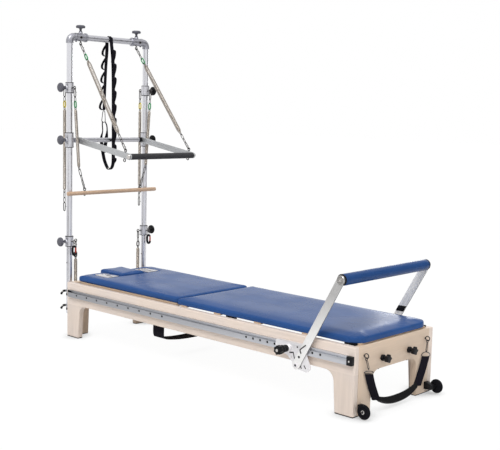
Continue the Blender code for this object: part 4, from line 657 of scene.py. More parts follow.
def woven(name, colour):
    """Webbing: a herringbone of ribs along the strap and fine threads across it, on its own map."""
    made = started(name, colour, 0.82, specular=0.06)
    tree, shader = made[1:]
    shader.inputs["Sheen Weight"].default_value = 0.02
    shader.inputs["Sheen Roughness"].default_value = 0.5
    vector = place_of(tree, source="UV")
    ribs = bands(tree, vector, 90.0, 1.2, 1.0, "Y")
    threads = bands(tree, vector, 150.0, 0.8, 1.0, "DIAGONAL")
    both = reckoned(tree, "MULTIPLY", ribs, threads)
    tone = blended(tree, spread(tree, both, 0.0, 1.0, (0.0, 0.6)), darker(colour, 0.55), colour)
    return dressed(made, tone, spread(tree, grain(tree, place_of(tree), 60.0), 0.74, 0.9), both, 0.5, 0.0008)


def coiled_wire(name, colour):
    """Nickelled spring wire with a slight patchiness."""
    made = started(name, colour, 0.3, 1.0)
    tree = made[1]
    cloud = grain(tree, place_of(tree), 60.0, 4.0)
    return dressed(made, patchy(tree, cloud, colour, 0.8), spread(tree, cloud, 0.24, 0.4),
                   grain(tree, place_of(tree), 1500.0, 2.0), 0.05, 0.0001)


# Each finish: the slot of the nodes that it is used for, its maker, its colour (with a share, where it is
# not the plain colour) and its maker's other settings.
FINISHES = {
    "frame_maple": ("maple", wood, "maple", "X", BOARD_BOTTOM),
    "end_maple": ("maple", wood, "end_maple", "Y", BOARD_BOTTOM, 0.97),
    "dowel_maple": ("maple", wood, "dowel", "Y"),
    "ply_board": ("plywood", plies, "plywood"),
    "blue_vinyl": ("vinyl", vinyl, "vinyl"),
    # Painted shade: the footbar grip takes a darker copy of the pads' vinyl.
    "grip_vinyl": ("vinyl", vinyl, ("vinyl", 0.84)),
    "handle_vinyl": (None, vinyl, "handle", 0.4),
    "rail_aluminium": ("aluminium", brushed, "rail", 0.36, "X", 0.02, (0, 0, 0), 1.0, rail_shade),
    "tube_aluminium": ("aluminium", brushed, "tube", 0.3, "Z", 0.01),
    "cross_aluminium": ("aluminium", brushed, "cross", 0.32, "Y", 0.01),
    "arm_aluminium": ("aluminium", brushed, "arm", 0.44, "X", 0.02, (0, -PUSH_DROP, 0), 0.7),
    "footbar_steel": ("stainless", brushed, "steel", 0.4, "Z", 0.01, (0, -FOOTBAR_LEAN, 0), 0.15, arm_shade),
    "socket_steel": (None, brushed, ("plate", 0.72), 0.22, "X", 0.02, (0, 0, 0), 0.9),
    "plate_steel": ("stainless", brushed, "plate", 0.38, "X", 0.01, (0, 0, 0), 0.25),
    "grey_casting": ("casting", speckled, "casting", 0.36, 0.85, 700.0, 0.05),
    "bend_casting": ("casting", speckled, "bend", 0.36, 0.85, 700.0, 0.05),
    "bright_steel": (None, speckled, "bright", 0.2, 1.0, 400.0, 0.03, 0.92),
    "hook_steel": (None, speckled, "hook", 0.3, 1.0, 400.0, 0.03, 0.8),
    "moulded_black": ("black_plastic", speckled, "black", 0.36, 0.0, 900.0, 0.05, 0.85, 0.16),
    "grey_knob": ("black_plastic", speckled, "knob", 0.5, 0.0, 800.0, 0.05),
    "black_rubber": ("wheel_rubber", speckled, ("black", 1.3), 0.6, 0.0, 600.0, 0.1, 0.85, 0.02),
    "grip_foam": ("foam", cellular, "foam"),
    "strap_webbing": ("webbing", woven, "webbing"),
    "spring_wire": ("nickel_wire", coiled_wire, "spring"),
    "yellow_ring": (None, speckled, "yellow", 0.35, 0.0, 500.0, 0.05),
    "green_ring": (None, speckled, "green", 0.35, 0.0, 500.0, 0.05),
    "red_gate": (None, speckled, "red", 0.35, 0.0, 500.0, 0.05),
}


def finish(name):
    """The finish of that name, made when it is first asked for."""
    if name in bpy.data.materials:
        return bpy.data.materials[name]
    _, maker, tint, *settings = FINISHES[name]
    tint, share = tint if isinstance(tint, tuple) else (tint, 1.0)
    colour = getattr(bpy.context.scene.reformer_colours, tint)
    return maker(name, darker(colour, share), *settings)


# Stage


def bare_material(name):
    """A new material with no nodes in its tree."""
    material = bpy.data.materials.new(name)
    material.use_nodes = True
    material.node_tree.nodes.clear()
    return material, material.node_tree


def glowing(tree, strength):
    return put(tree, "Emission", {"Color": WHITE, "Strength": strength}).outputs[0]


def facing(way):
    return Vector(way).to_track_quat("Z", "Y").to_euler()


def build_floor():
    """A white floor that darkens softly near the feet, and is plain white in reflections."""
    bpy.ops.mesh.primitive_plane_add(size=80.0, location=(0, 0, 0))
    floor = bpy.context.object
    floor.name = "studio_floor"
    settle(floor)
    material, tree = bare_material("studio_floor")
    path = put(tree, "LightPath").outputs
    mirrored = reckoned(tree, "MAXIMUM", path["Is Glossy Ray"], path["Is Transmission Ray"])
    plain, shade = (put(tree, "BsdfDiffuse", {"Color": (tone, tone, tone, 1)}).outputs[0]
                    for tone in (0.8, 0.05))
    near = put(tree, "AmbientOcclusion", {"Distance": 0.11}, samples=8).outputs["AO"]
    glow = glowing(tree, spread(tree, near, 0.45, 0.965, (0.25, 0.9)))
    both = put(tree, "AddShader", {0: shade, 1: glow}).outputs[0]
    mixed = put(tree, "MixShader", {0: path["Is Camera Ray"], 1: plain, 2: both}).outputs[0]
    mixed = put(tree, "MixShader", {0: mirrored, 1: mixed, 2: glowing(tree, 1.0)}).outputs[0]
    put(tree, "OutputMaterial", {"Surface": mixed})
    floor.data.materials.append(material)


def build_card(name, middle, way, size, tone):
    """A glowing card that is only seen in gloss."""
    bpy.ops.mesh.primitive_plane_add(size=1.0)
    card = bpy.context.object
    card.name = name
    card.scale = (*size, 1.0)
    card.rotation_euler = facing(way)
    card.location = middle
    settle(card)
    card.visible_camera = card.visible_diffuse = card.visible_shadow = False
    material, tree = bare_material(name)
    put(tree, "OutputMaterial", {"Surface": glowing(tree, tone)})
    card.data.materials.append(material)


def build_world():
    """White where it is seen straight, in gloss or through glass, and softer as a light."""
    world = bpy.data.worlds.new("studio")
    bpy.context.scene.world = world
    world.use_nodes = True
    tree = world.node_tree
    tree.nodes.clear()
    path = put(tree, "LightPath").outputs
    seen = reckoned(tree, "MAXIMUM", path["Is Camera Ray"], path["Is Glossy Ray"])
    seen = reckoned(tree, "MAXIMUM", seen, path["Is Transmission Ray"])
    soft, white = (put(tree, "Background", {"Color": WHITE, "Strength": strength}).outputs[0]
                   for strength in (0.55, 1.0))
    mixed = put(tree, "MixShader", {0: seen, 1: soft, 2: white}).outputs[0]
    put(tree, "OutputWorld", {"Surface": mixed})


def build_stage():
    """Camera, floor, cards, white surroundings and lamps."""
    scene = bpy.context.scene
    scene.view_settings.view_transform = "Standard"
    deselect()
    bpy.ops.object.camera_add(location=at(*CAMERA_PLACE),
                              rotation=[math.radians(angle) for angle in CAMERA_TURN])
    camera = bpy.context.object
    camera.data.lens = CAMERA_LENS
    camera.data.sensor_width = 36.0
    camera.data.clip_end = 100.0
    scene.camera = camera
    build_floor()
    build_card("side_card", (3.9, 5.6, 1.5), (-0.6, -0.8, 0), (6.4, 7.0), 0.16)
    build_card("low_card", (-0.1, -3.4, 0.3), (0.62, 0.79, 0), (4.6, 0.8), 0.22)
    build_card("high_card", (-2.95, 6.6, 1.95), (0.5, -0.83, -0.25), (0.85, 0.75), 9.0)
    build_world()
    for name, way, strength, wide in (("key", (0.35, -0.62, 1.0), 1.9, 28.0),
                                      ("fill", (0.9, 0.25, 0.5), 0.12, 50.0)):
        bpy.ops.object.light_add(type="SUN", location=(0, 0, 5))
        lamp = bpy.context.object
        lamp.name = name
        lamp.data.energy = strength
        lamp.data.angle = math.radians(wide)
        lamp.rotation_euler = facing(way)


# Frame


def build_timber():
    """Side boards with their ledges, end boards, leg pads, and the nubs under the end boards."""
    end, radii = FRAME_LENGTH, [0, 0, ARCH_RADIUS, ARCH_RADIUS, 0, 0, 0, 0]
    points = [(0, LEG_BOTTOM), (0.114, LEG_BOTTOM), (0.13, BOARD_BOTTOM), (end - 0.13, BOARD_BOTTOM),
              (end - 0.114, LEG_BOTTOM), (end, LEG_BOTTOM), (end, FRAME_TOP), (0, FRAME_TOP)]
    outline = from_head(rounded(points, radii, 12))
    for name, side in SIDES:
        board = slab(outline, "Y", *on_side(side, INNER, HALF_WIDTH), 0.0045, 4)
        ledge = side_block(side, (0.14, end - 0.14), (INNER - 0.045, INNER + 0.001), (0.2627, 0.2777), 0.001)
        placed(f"side_board_{name}", [board, ledge], "frame", "frame_maple", f"side_frame_{name}")
    half, foot, top = INNER - 0.0003, HALF_WIDTH - 0.142, HALF_WIDTH - 0.15
    points = [(-half, LEG_BOTTOM), (-foot, LEG_BOTTOM), (-top, BOARD_BOTTOM), (top, BOARD_BOTTOM),
              (foot, LEG_BOTTOM), (half, LEG_BOTTOM), (half, FRAME_TOP), (-half, FRAME_TOP)]
    for name, x in (("head", 0.0), ("foot", end - TIMBER)):
        board = slab(rounded(points, radii, 12), "X", HEAD + x, HEAD + x + TIMBER, 0.002, 3)
        placed(f"{name}_board", board, "frame", "end_maple", f"{name}_frame")
    pads, nubs = [], []
    for x0, way in ((0.0, 1), (end, -1)):
        outer, inner, long = x0 + way * 0.001, x0 + way * (TIMBER - 0.001), x0 + way * 0.113
        for side in (-1, 1):
            near, bend, far = side * 0.204, side * 0.3087, side * (HALF_WIDTH - 0.001)
            outline = [(outer, near), (inner, near), (inner, bend), (long, bend), (long, far), (outer, far)]
            pads.append(slab(from_head(rounded(outline, [0.003] * 6, 3)), "Z", 0.0, 0.0042, 0.0008))
    placed("leg_pads", pads, "frame", "black_rubber")
    nub = ((0, 0.007), (0.002, 0.0085), (0.006, 0.0085), (0.008, 0.006))
    for side in (-1, 1):
        for x in (TIMBER / 2, end - TIMBER / 2):
            nubs.append(turned(nub, at(x, side * 0.128, BOARD_BOTTOM + 0.0005), (0, 0, -1), 20))
    placed("board_nubs", nubs, "frame", "black_rubber")


def build_rails():
    """Slide rails with their hole rows, black end stops and small fixing screws."""
    back, web, face = HALF_WIDTH + 0.0003, HALF_WIDTH + 0.0053, HALF_WIDTH + 0.0175
    step, lip, stop_length = 0.29125, 0.003, 0.034
    holes = [0.121 + 0.1 * i for i in range(9)] + [1.582 + 0.05 * i for i in range(11)]
    screw_places = [0.4 + 0.139 * i for i in range(10)] + [2.225]
    outline = [(back, RAIL_LOW), (face, RAIL_LOW), (face, step), (web, step), (web, RAIL_TOP - lip),
               (face - lip, RAIL_TOP - lip), (face - lip, RAIL_TOP), (back, RAIL_TOP)]
    rail_screw = ((0, 0.0034), (0.0003, 0.0034), (0.0005, 0.0028))
    stop_screw = ((0, 0.005), (0.0012, 0.005), (0.0018, 0.0038), (0.0012, 0.003), (0.0012, 0.001))
    shade_fills, screws, stops = [], [], []
    for name, side in SIDES:
        end = FRAME_LENGTH - (0.0015 if side < 0 else 0.0185)
        stop_start = end - stop_length
        open_holes = [x for x in holes if x < stop_start - 0.01]
        rail = slab([(side * y, z) for y, z in outline], "X", HEAD + 0.032, HEAD + stop_start, 0.0006, 2)
        cut(rail, joined([crossbar(side, x, HOLE_Z, (face - 0.009, face + 0.01), 0.0065, 16)
                          for x in open_holes]))
        # Painted shade: black fills inside the open holes, which hold only shade.
        shade_fills += [crossbar(side, x, HOLE_Z, (face - 0.0088, face - 0.0007), 0.0064, 16) for x in open_holes]
        placed(f"slide_rail_{name}_dressed", rail, "frame", "rail_aluminium", f"slide_rail_{name}")
        screws += [turned(rail_screw, at(x, side * (face - lip - 0.004), RAIL_TOP), (0, 0, 1), 14)
                   for x in screw_places]
        screws.append(outwards(stop_screw, side, end - stop_length / 2, face + 0.005, 0.283, 20))
        stops.append(side_block(side, (stop_start, end), (back, face + 0.005), (RAIL_LOW, RAIL_TOP),
                                0.0025, 3))
        stops.append(side_block(side, (0.03, 0.032), (back, face - 0.0002),
                                (RAIL_LOW + 0.0003, RAIL_TOP - 0.0003)))
    placed("rail_hole_liners", shade_fills, "frame", "black_rubber")
    placed("rail_stops", stops, "frame", "moulded_black")
    placed("rail_screws", screws, "frame", "bright_steel")


def build_well_strap():
    """The wide webbing sling under the spring well with its clamp strips."""
    wall = INNER - 0.0022
    heights = (0.255, 0.2, 0.15)
    points = [at(WELL_X, -wall, z) for z in heights]
    for step in range(11):
        share = step / 10 * 2 - 1
        points.append(at(WELL_X, share * (wall - 0.012), 0.13 - 0.024 * (1 - abs(share) ** 3)))
    points += [at(WELL_X, wall, z) for z in reversed(heights)]
    placed("well_sling", strap(smooth_line(points, 3), (1, 0, 0), 0.095, 0.0028), "frame", "strap_webbing",
           "well_strap")
    clamps = [side_block(side, (0.79, 0.877), (wall - 0.004, wall - 0.0012), (0.228, 0.246), 0.001)
              for side in (-1, 1)]
    placed("well_sling_clamps", clamps, "frame", "bright_steel")


# Carriage and upholstery


def build_carriage():
    """Deck, socket plates for shoulder rests, wheel hangers and running wheels."""
    half = INNER - 0.012
    deck = slab(from_head(oblong((0.074, 0.973), (-half, half), 0.01)), "Z", DECK_LOW, DECK_TOP, 0.001)
    placed("deck_board", deck, "carriage", "ply_board", "carriage_deck")
    plates, linings, hangers = [], [], []
    slot_x = HEAD + SOCKET_X
    for side in (-1, 1):
        plate = slab(from_head(oblong((0.11, 0.246), on_side(side, 0.122, 0.214), 0.004)), "Z", DECK_TOP,
                     PAD_TOP, 0.001)
        middle = side * SOCKET_Y
        slot, lining = (oblong((slot_x - long, slot_x + long), (middle - wide, middle + wide), 0.006)
                        for long, wide in ((0.03, 0.007), (0.0295, 0.0065)))
        cut(plate, slab(slot, "Z", 0.36, 0.41))
        cut(plate, slab(disc((HEAD + 0.135, middle), 0.005), "Z", 0.385, 0.41))
        plates.append(plate)
        linings.append(slab(lining, "Z", 0.36, 0.3925))
        for _, x in WHEEL_PLACES:
            hangers.append(side_block(side, (x - 0.03, x + 0.03), (0.264, 0.282), (0.2922, 0.3388), 0.002))
            hangers.append(crossbar(side, x, WHEEL_Z, (0.2815, 0.3035), 0.004, 16, 0.0005))
    placed("socket_plates", plates, "carriage", "socket_steel")
    placed("socket_linings", linings, "carriage", "moulded_black")
    placed("wheel_hangers", hangers, "carriage", "bright_steel")
    half_tread = ((0.009, 0.0045), (0.009, 0.01), (0.006, 0.0115), (0.006, 0.017), (0.009, 0.019),
                  (0.0085, 0.0205), (0.007, 0.022))
    profile = [(-along, radius) for along, radius in half_tread] + list(reversed(half_tread))
    for name, side in SIDES:
        for end, x in WHEEL_PLACES:
            wheel = outwards(profile, side, x, WHEEL_Y, WHEEL_Z, 40)
            node = f"carriage_wheel_{end}_{name}"
            placed(f"running_wheel_{end}_{name}", wheel, node, "moulded_black", node)


def crowned(piece, low, top, crown, reach):
    """Lowers a pad's top towards its edge: full height once a point is well inside."""
    near, far = piece.bound_box[0], piece.bound_box[6]
    for vert in piece.data.vertices:
        if vert.co.z < (low + top) / 2:
            continue
        inside = min(vert.co.x - near[0], far[0] - vert.co.x, vert.co.y - near[1], far[1] - vert.co.y)
        vert.co.z += crown * (math.sin(clipped(inside / reach) * math.pi / 2) - 1.0)
    return piece


def plumped(piece, voxel, cap, low):
    """Blows a pad up a little as stuffed vinyl, held on its underside, with each point's travel capped."""
    applied(piece, "REMESH", mode="VOXEL", voxel_size=voxel)
    last_frame = 20
    held = piece.vertex_groups.new(name="held")
    held.add([v.index for v in piece.data.vertices if v.co.z < low + 0.004], 1.0, "REPLACE")
    before = [v.co.copy() for v in piece.data.vertices]
    pick(piece)
    bpy.ops.object.modifier_add(type="CLOTH")
    cloth = piece.modifiers[-1]
    settings = cloth.settings
    settings.use_pressure = True
    settings.uniform_pressure_force = 4.0
    settings.effector_weights.gravity = 0.0
    settings.vertex_group_mass = "held"
    settings.quality = 4
    cloth.collision_settings.use_collision = False
    cloth.point_cache.frame_start = 1
    cloth.point_cache.frame_end = last_frame
    for step in range(1, last_frame + 1):
        bpy.context.scene.frame_set(step)
    bpy.ops.object.modifier_apply(modifier=cloth.name)
    bpy.context.scene.frame_set(1)
    for vert, old in zip(piece.data.vertices, before):
        travel = vert.co - old
        if travel.length > cap:
            vert.co = old + travel * (cap / travel.length)
    piece.vertex_groups.clear()
    return piece


def pad(outline, low, top, edge, voxel, cuts=(), crown=0.003, reach=0.08):
    """A firm vinyl pad with eased edges and a crowned top."""
    piece = slab(outline, "Z", low, top)
    for cutter in cuts:
        cut(piece, cutter)
    opened(piece)
    bpy.ops.mesh.bevel(offset=edge, segments=5, affect="EDGES", clamp_overlap=True)
    bpy.ops.object.mode_set(mode="OBJECT")
    plumped(piece, voxel, 0.004, low)
    crowned(piece, low, top, crown, reach)
    applied(piece, "SMOOTH", factor=0.5, iterations=4)
    return applied(piece, "SUBSURF", levels=1, render_levels=1)


def build_upholstery():
    """Carriage pad, headrest and conversion mat with its board and spacers."""
    inset = 0.0025
    outline = from_head(oblong((0.054, 0.985 - inset), (-0.303 + inset, 0.303 - inset), 0.014))
    cuts = [block(at(0.0, -0.0985, 0.34), at(0.2535, 0.0985, 0.42))]
    cuts += [side_block(side, (0.1085, 0.2475), (0.1205, 0.2155), (0.34, 0.42)) for side in (-1, 1)]
    piece = pad(outline, PAD_LOW, PAD_TOP - inset * 0.6, 0.007, 0.0072, cuts)
    placed("carriage_cushion", piece, "carriage", "blue_vinyl", "carriage_pad", 60)
    outline = from_head(oblong((0.011, 0.248), (-0.093, 0.093), (0.012, 0.008, 0.008, 0.012)))
    piece = pad(outline, PAD_LOW, PAD_TOP + 0.01, 0.007, 0.0045)
    placed("headrest_cushion", piece, "headrest", "blue_vinyl", "headrest", 60)
    outline = from_head(oblong((MAT_START + inset, MAT_END - inset), (-MAT_HALF + inset, MAT_HALF - inset),
                               (0.014, MAT_CORNER, MAT_CORNER, 0.014), 12))
    piece = pad(outline, MAT_LOW - 0.003, MAT_TOP - 0.0008, 0.018, 0.009, crown=0.009, reach=0.07)
    placed("mat_cushion", piece, "conversion_mat", "blue_vinyl", "mat_pad", 60)
    back = 0.02
    outline = from_head(oblong((MAT_START + back, MAT_END - back), (-MAT_HALF + back, MAT_HALF - back),
                               (0.014, MAT_CORNER - back, MAT_CORNER - back, 0.014)))
    board = slab(outline, "Z", MAT_LOW - 0.0042, MAT_LOW + 0.004, 0.0008)
    placed("mat_underside", board, "conversion_mat", "ply_board", "mat_board")
    heights = (FRAME_TOP + 0.0003, MAT_LOW + 0.001)
    across = (MAT_HALF - 0.03, MAT_HALF - 0.008)
    starts = [MAT_START + (MAT_END - MAT_START) * share for share in (0.027, 0.233, 0.465, 0.721, 0.93)]
    wooden, dark = [], []
    for side in (-1, 1):
        wooden += [side_block(side, (x, x + 0.05), across, heights, 0.0012) for x in starts[:-1]]
        dark.append(side_block(side, (starts[-1], FRAME_LENGTH - TIMBER + 0.012), across, heights, 0.0012))
    wooden.append(block(at(FRAME_LENGTH - TIMBER + 0.003, 0.031 - MAT_HALF, heights[0]),
                        at(FRAME_LENGTH - 0.016, MAT_HALF - 0.031, heights[1]), 0.0012))
    placed("mat_spacers", wooden, "conversion_mat", "ply_board")
    placed("mat_stops", dark, "conversion_mat", "black_rubber")


# Footbar


def plate_outline():
    top = RAIL_TOP + 0.0067
    corners = ((PLUNGER_X - 0.086, top, 0.01), (PIVOT_X + 0.045, top, 0.008),
               (PIVOT_X + 0.062, PIVOT_Z + 0.058, 0.02), (PIVOT_X + 0.092, PIVOT_Z - 0.002, 0.016),
               (PIVOT_X + 0.066, PIVOT_Z - 0.028, 0.018), (PIVOT_X - 0.02, PIVOT_Z - 0.014, 0.012),
               (PIVOT_X - 0.03, PIVOT_Z + 0.012, 0.012), (PIVOT_X - 0.068, PIVOT_Z + 0.042, 0.03),
               (PLUNGER_X - 0.062, PIVOT_Z + 0.048, 0.018), (PLUNGER_X - 0.086, 0.2735, 0.012))
    return from_head(rounded([corner[:2] for corner in corners], [corner[2] for corner in corners], 6))


def from_pivot(x, z):
    """A point of a footbar outline, given from the pivot."""
    return HEAD + PIVOT_X + x, PIVOT_Z + z


def build_footbar_bases():
    """Sliding base plates with their slots, saddles and pivot pins, and the lock plungers."""
    slots = [(from_pivot(*start), from_pivot(*end)) for start, end in (
        ((-0.048, 0.056), (-0.026, 0.06)), ((-0.025, 0.06), (-0.017, 0.032)),
        ((0.022, 0.004), (0.029, -0.011)), ((0.048, 0.005), (0.057, -0.007)))]
    slot_half = 0.00325
    window = (0.000, 0.092)
    boss = ((0, 0.0215), (0.01, 0.0212), (0.0145, 0.0175), (0.0155, 0.016))
    pin = ((0, 0.008), (0.0085, 0.008), (0.0085, 0.0125), (0.0095, 0.013), (0.0125, 0.0125), (0.0137, 0.0105))
    pin_socket = ((0, 0.0062), (0.0006, 0.0058))
    for name, side in SIDES:
        low, high = on_side(side, PLATE_INNER, PLATE_OUTER)
        plate = slab(plate_outline(), "Y", low, high)
        holes = [link_outline(start, end, slot_half, 8) for start, end in slots]
        holes += [disc(from_pivot(*window), 0.005), disc(from_pivot(-0.036, 0.034), 0.0035)]
        for hole in holes:
            cut(plate, slab(hole, "Y", low - 0.01, high + 0.01))
        eased(plate, 0.0006, 2, 50)
        face = on_side(side, PLATE_INNER + 0.0006, PLATE_OUTER - 0.0003)
        # Painted shade: black fills inside the slots, the round window and the recess at the pivot pin's end,
        # which hold only shade.
        shade_fills = [slab(link_outline(start, end, slot_half - 0.0002, 8), "Y", *face) for start, end in slots]
        shade_fills.append(slab(disc(from_pivot(*window), 0.0048), "Y", *face))
        shade_fills.append(outwards(pin_socket, side, PIVOT_X, PLATE_OUTER + 0.0125, PIVOT_Z, 24))
        placed(f"slot_liners_{name}", shade_fills, "footbar_base", "black_rubber")
        long, across = (PLUNGER_X - 0.07, PIVOT_X + 0.035), (0.347, PLATE_OUTER - 0.001)
        saddles = [side_block(side, long, across, heights, 0.001)
                   for heights in ((0.30645, 0.31245), (0.25455, 0.26055))]
        parts = [plate, *saddles, outwards(boss, side, PLUNGER_X, PLATE_OUTER - 0.001, HOLE_Z, 40),
                 outwards(pin, side, PIVOT_X, PLATE_OUTER - 0.001, PIVOT_Z, 36)]
        placed(f"footbar_base_{name}", parts, "footbar_base", "plate_steel", f"footbar_plate_{name}")
        build_plunger(name, side)


def build_plunger(name, side):
    """A spring plunger: sleeve, ribbed and lobed knob with its end ring, and the pin through it."""
    start = PLATE_OUTER + 0.0155
    knob_start = start + 0.032
    sleeve = ((0, 0.015), (0.002, 0.018), (0.012, 0.0185), (0.022, 0.0175), (0.024, 0.014), (0.032, 0.013))
    ribs = ((0, 0.017), (0.001, 0.0205), (0.004, 0.0215), (0.012, 0.0215), (0.016, 0.019), (0.018, 0.018),
            (0.02, 0.018))
    ring = ((0, 0.016), (0.002, 0.016), (0.0028, 0.015), (0.002, 0.011), (0.0005, 0.01))
    cap = ((0, 0.0083), (0.0015, 0.0078), (0.0017, 0.004), (0.0009, 0.0035))
    sleeve = outwards(sleeve, side, PLUNGER_X, start, HOLE_Z, 36)
    pin = crossbar(side, PLUNGER_X, HOLE_Z, (PLATE_INNER - 0.001, start + 0.002), 0.004, 16)
    ribs = outwards(ribs, side, PLUNGER_X, knob_start - 0.004, HOLE_Z, 40)
    centre = at(PLUNGER_X, 0, HOLE_Z)
    lobed = star(0.0245, 7, centre, 0.0, 0.024, 0.07)
    settle(lobed, Matrix.Translation(at(PLUNGER_X, side * (knob_start + 0.0155), HOLE_Z))
           @ Matrix.Rotation(side * math.pi / 2, 4, "Z") @ Matrix.Translation(-centre))
    ring = outwards(ring, side, PLUNGER_X, knob_start + 0.039, HOLE_Z, 36)
    node = f"plunger_{name}"
    placed(f"plunger_knob_{name}", [sleeve, ribs, lobed, ring], node, "moulded_black", node)
    cap = outwards(cap, side, PLUNGER_X, knob_start + 0.0405, HOLE_Z, 28)
    placed(f"plunger_pin_{name}", [pin, cap], node, "bright_steel")


def build_footbar():
    """Flat arms on the cross tube, the padded grip, end caps, latches and stop pads."""
    arms, caps, rims, marks, latches = [], [], [], [], []
    way = (Vector((FOOTBAR_X, FOOTBAR_Z)) - Vector((PIVOT_X, PIVOT_Z))).normalized()
    side_way = Vector((-way.y, way.x)) * 0.0222
    base = Vector(from_pivot(0, 0))
    stop_pad = [base + way * along + side_way * edge for along, edge in
                ((0.233, -1), (0.269, -1), (0.244, 1), (0.208, 1))]
    latch = ((0.062, 0.114), (0.045, 0.101), (0.029, 0.088), (0.026, 0.081), (0.033, 0.066))
    cap = ((0, 0.0215), (0.0008, 0.0222), (0.003, 0.0222), (0.0042, 0.0208), (0.0042, 0.012), (0.003, 0.0112),
           (0.003, 0.008), (0.0058, 0.0072), (0.0066, 0.0052), (0.0066, 0.003), (0.0048, 0.0026))
    rim = ((0, 0.0262), (0.001, 0.0285), (0.0035, 0.0288), (0.0052, 0.0262))
    mark = ((0, 0.0066), (0.0005, 0.0064))
    for _, side in SIDES:
        low, high = on_side(side, ARM_INNER, ARM_OUTER)
        arm = slab(link_outline(from_pivot(0, 0), (HEAD + FOOTBAR_X, FOOTBAR_Z), 0.0225), "Y", low, high)
        cut(arm, crossbar(1, PIVOT_X, PIVOT_Z, (low - 0.01, high + 0.01), 0.0086, 32))
        arms.append(eased(arm, 0.001, 3, 50))
        caps.append(outwards(cap, side, FOOTBAR_X, ARM_OUTER - 0.0002, FOOTBAR_Z, 40))
        rims.append(outwards(rim, side, FOOTBAR_X, ARM_INNER - 0.0053, FOOTBAR_Z, 40))
        line = [at(PIVOT_X + x, side * (ARM_OUTER + 0.0012), PIVOT_Z + z) for x, z in latch]
        latches.append(wire(smooth_line(line, 3), 0.0028, 10))
        marks.append(outwards(mark, side, PIVOT_X + 0.019, ARM_OUTER, PIVOT_Z + 0.0457, 24))
        marks.append(slab(stop_pad, "Y", *on_side(side, ARM_INNER - 0.0018, ARM_INNER + 0.0003), 0.0005))
    reach = ARM_INNER + 0.001
    tube = crossbar(1, FOOTBAR_X, FOOTBAR_Z, (-reach, reach), 0.016, 32)
    placed("footbar_arms", [*arms, tube], "footbar", "footbar_steel", "footbar_frame")
    placed("footbar_caps", caps, "footbar", "bright_steel")
    placed("footbar_rims", rims + marks, "footbar", "moulded_black")
    placed("footbar_latches", latches, "footbar", "hook_steel")
    half = ARM_INNER - 0.006
    profile = [(-half, 0.024), (-half + 0.0008, 0.0268), (-half + 0.004, 0.0281)]
    profile += [(-half + 0.004 + (2 * half - 0.008) * i / 24, 0.0283 + 0.00025 * math.sin(i * 2.1) * (i % 2))
                for i in range(1, 24)]
    profile += [(half - 0.004, 0.0281), (half - 0.0008, 0.0268), (half, 0.024)]
    grip = turned(profile, at(FOOTBAR_X, 0, FOOTBAR_Z), (0, 1, 0), 48)
    seam = crossbar(1, FOOTBAR_X + 0.01, FOOTBAR_Z - 0.0266, (-half + 0.003, half - 0.003), 0.0012, 8, 0.0004)
    # The grip's vinyl is a darker copy of the pads' vinyl, as painted shade.
    placed("footbar_padding", [grip, seam], "footbar", "grip_vinyl", "footbar_grip")


# Tower


def build_tower_tubes():
    """Uprights, top tube and the bends that join them."""
    radius, reach = 0.03, 0.04
    rim = ((0, 0.0225), (0.0006, 0.0235), (0.004, 0.0235), (0.0046, 0.023))
    plug = ((0, 0.015), (0.001, 0.0165), (0.003, 0.0165))
    pin = ((0, 0.0035), (0.0015, 0.0035), (0.0024, 0.0022))
    for name, side in SIDES:
        y = side * UPRIGHT_Y
        tube = bar(at(UPRIGHT_X, y, 0.1425), at(UPRIGHT_X, y, TOP_TUBE_Z - 0.0303), TUBE, 48, 0.0006)
        placed(f"tower_upright_{name}", tube, "frame", "tube_aluminium", f"upright_{name}")
        parts = [turned(plug, at(UPRIGHT_X, y, 0.142), (0, 0, 1), 36),
                 turned(pin, at(UPRIGHT_X, y - 0.0185, 0.47), (0, -1, 0), 16)]
        placed(f"upright_plug_{name}", parts, "frame", "moulded_black")
        foot, tip = at(UPRIGHT_X, y, TOP_TUBE_Z - reach), at(UPRIGHT_X, y - side * reach, TOP_TUBE_Z)
        angles = [math.pi / 2 * step / 16 for step in range(17)]
        line = [at(UPRIGHT_X, y - side * radius * (1 - math.cos(angle)),
                   TOP_TUBE_Z - radius + radius * math.sin(angle)) for angle in angles]
        bend = wire([foot, *line, tip], 0.0232, 40, smooth=False)
        rims = [turned(rim, foot, (0, 0, 1), 48), turned(rim, tip, (0, side, 0), 48)]
        placed(f"tower_bend_{name}", [bend, *rims], "frame", "bend_casting", f"top_elbow_{name}", 50)
    tube = crossbar(1, UPRIGHT_X, TOP_TUBE_Z, (-0.2822, 0.2822), TUBE, 48)
    placed("tower_top_tube", tube, "frame", "cross_aluminium", "top_tube")


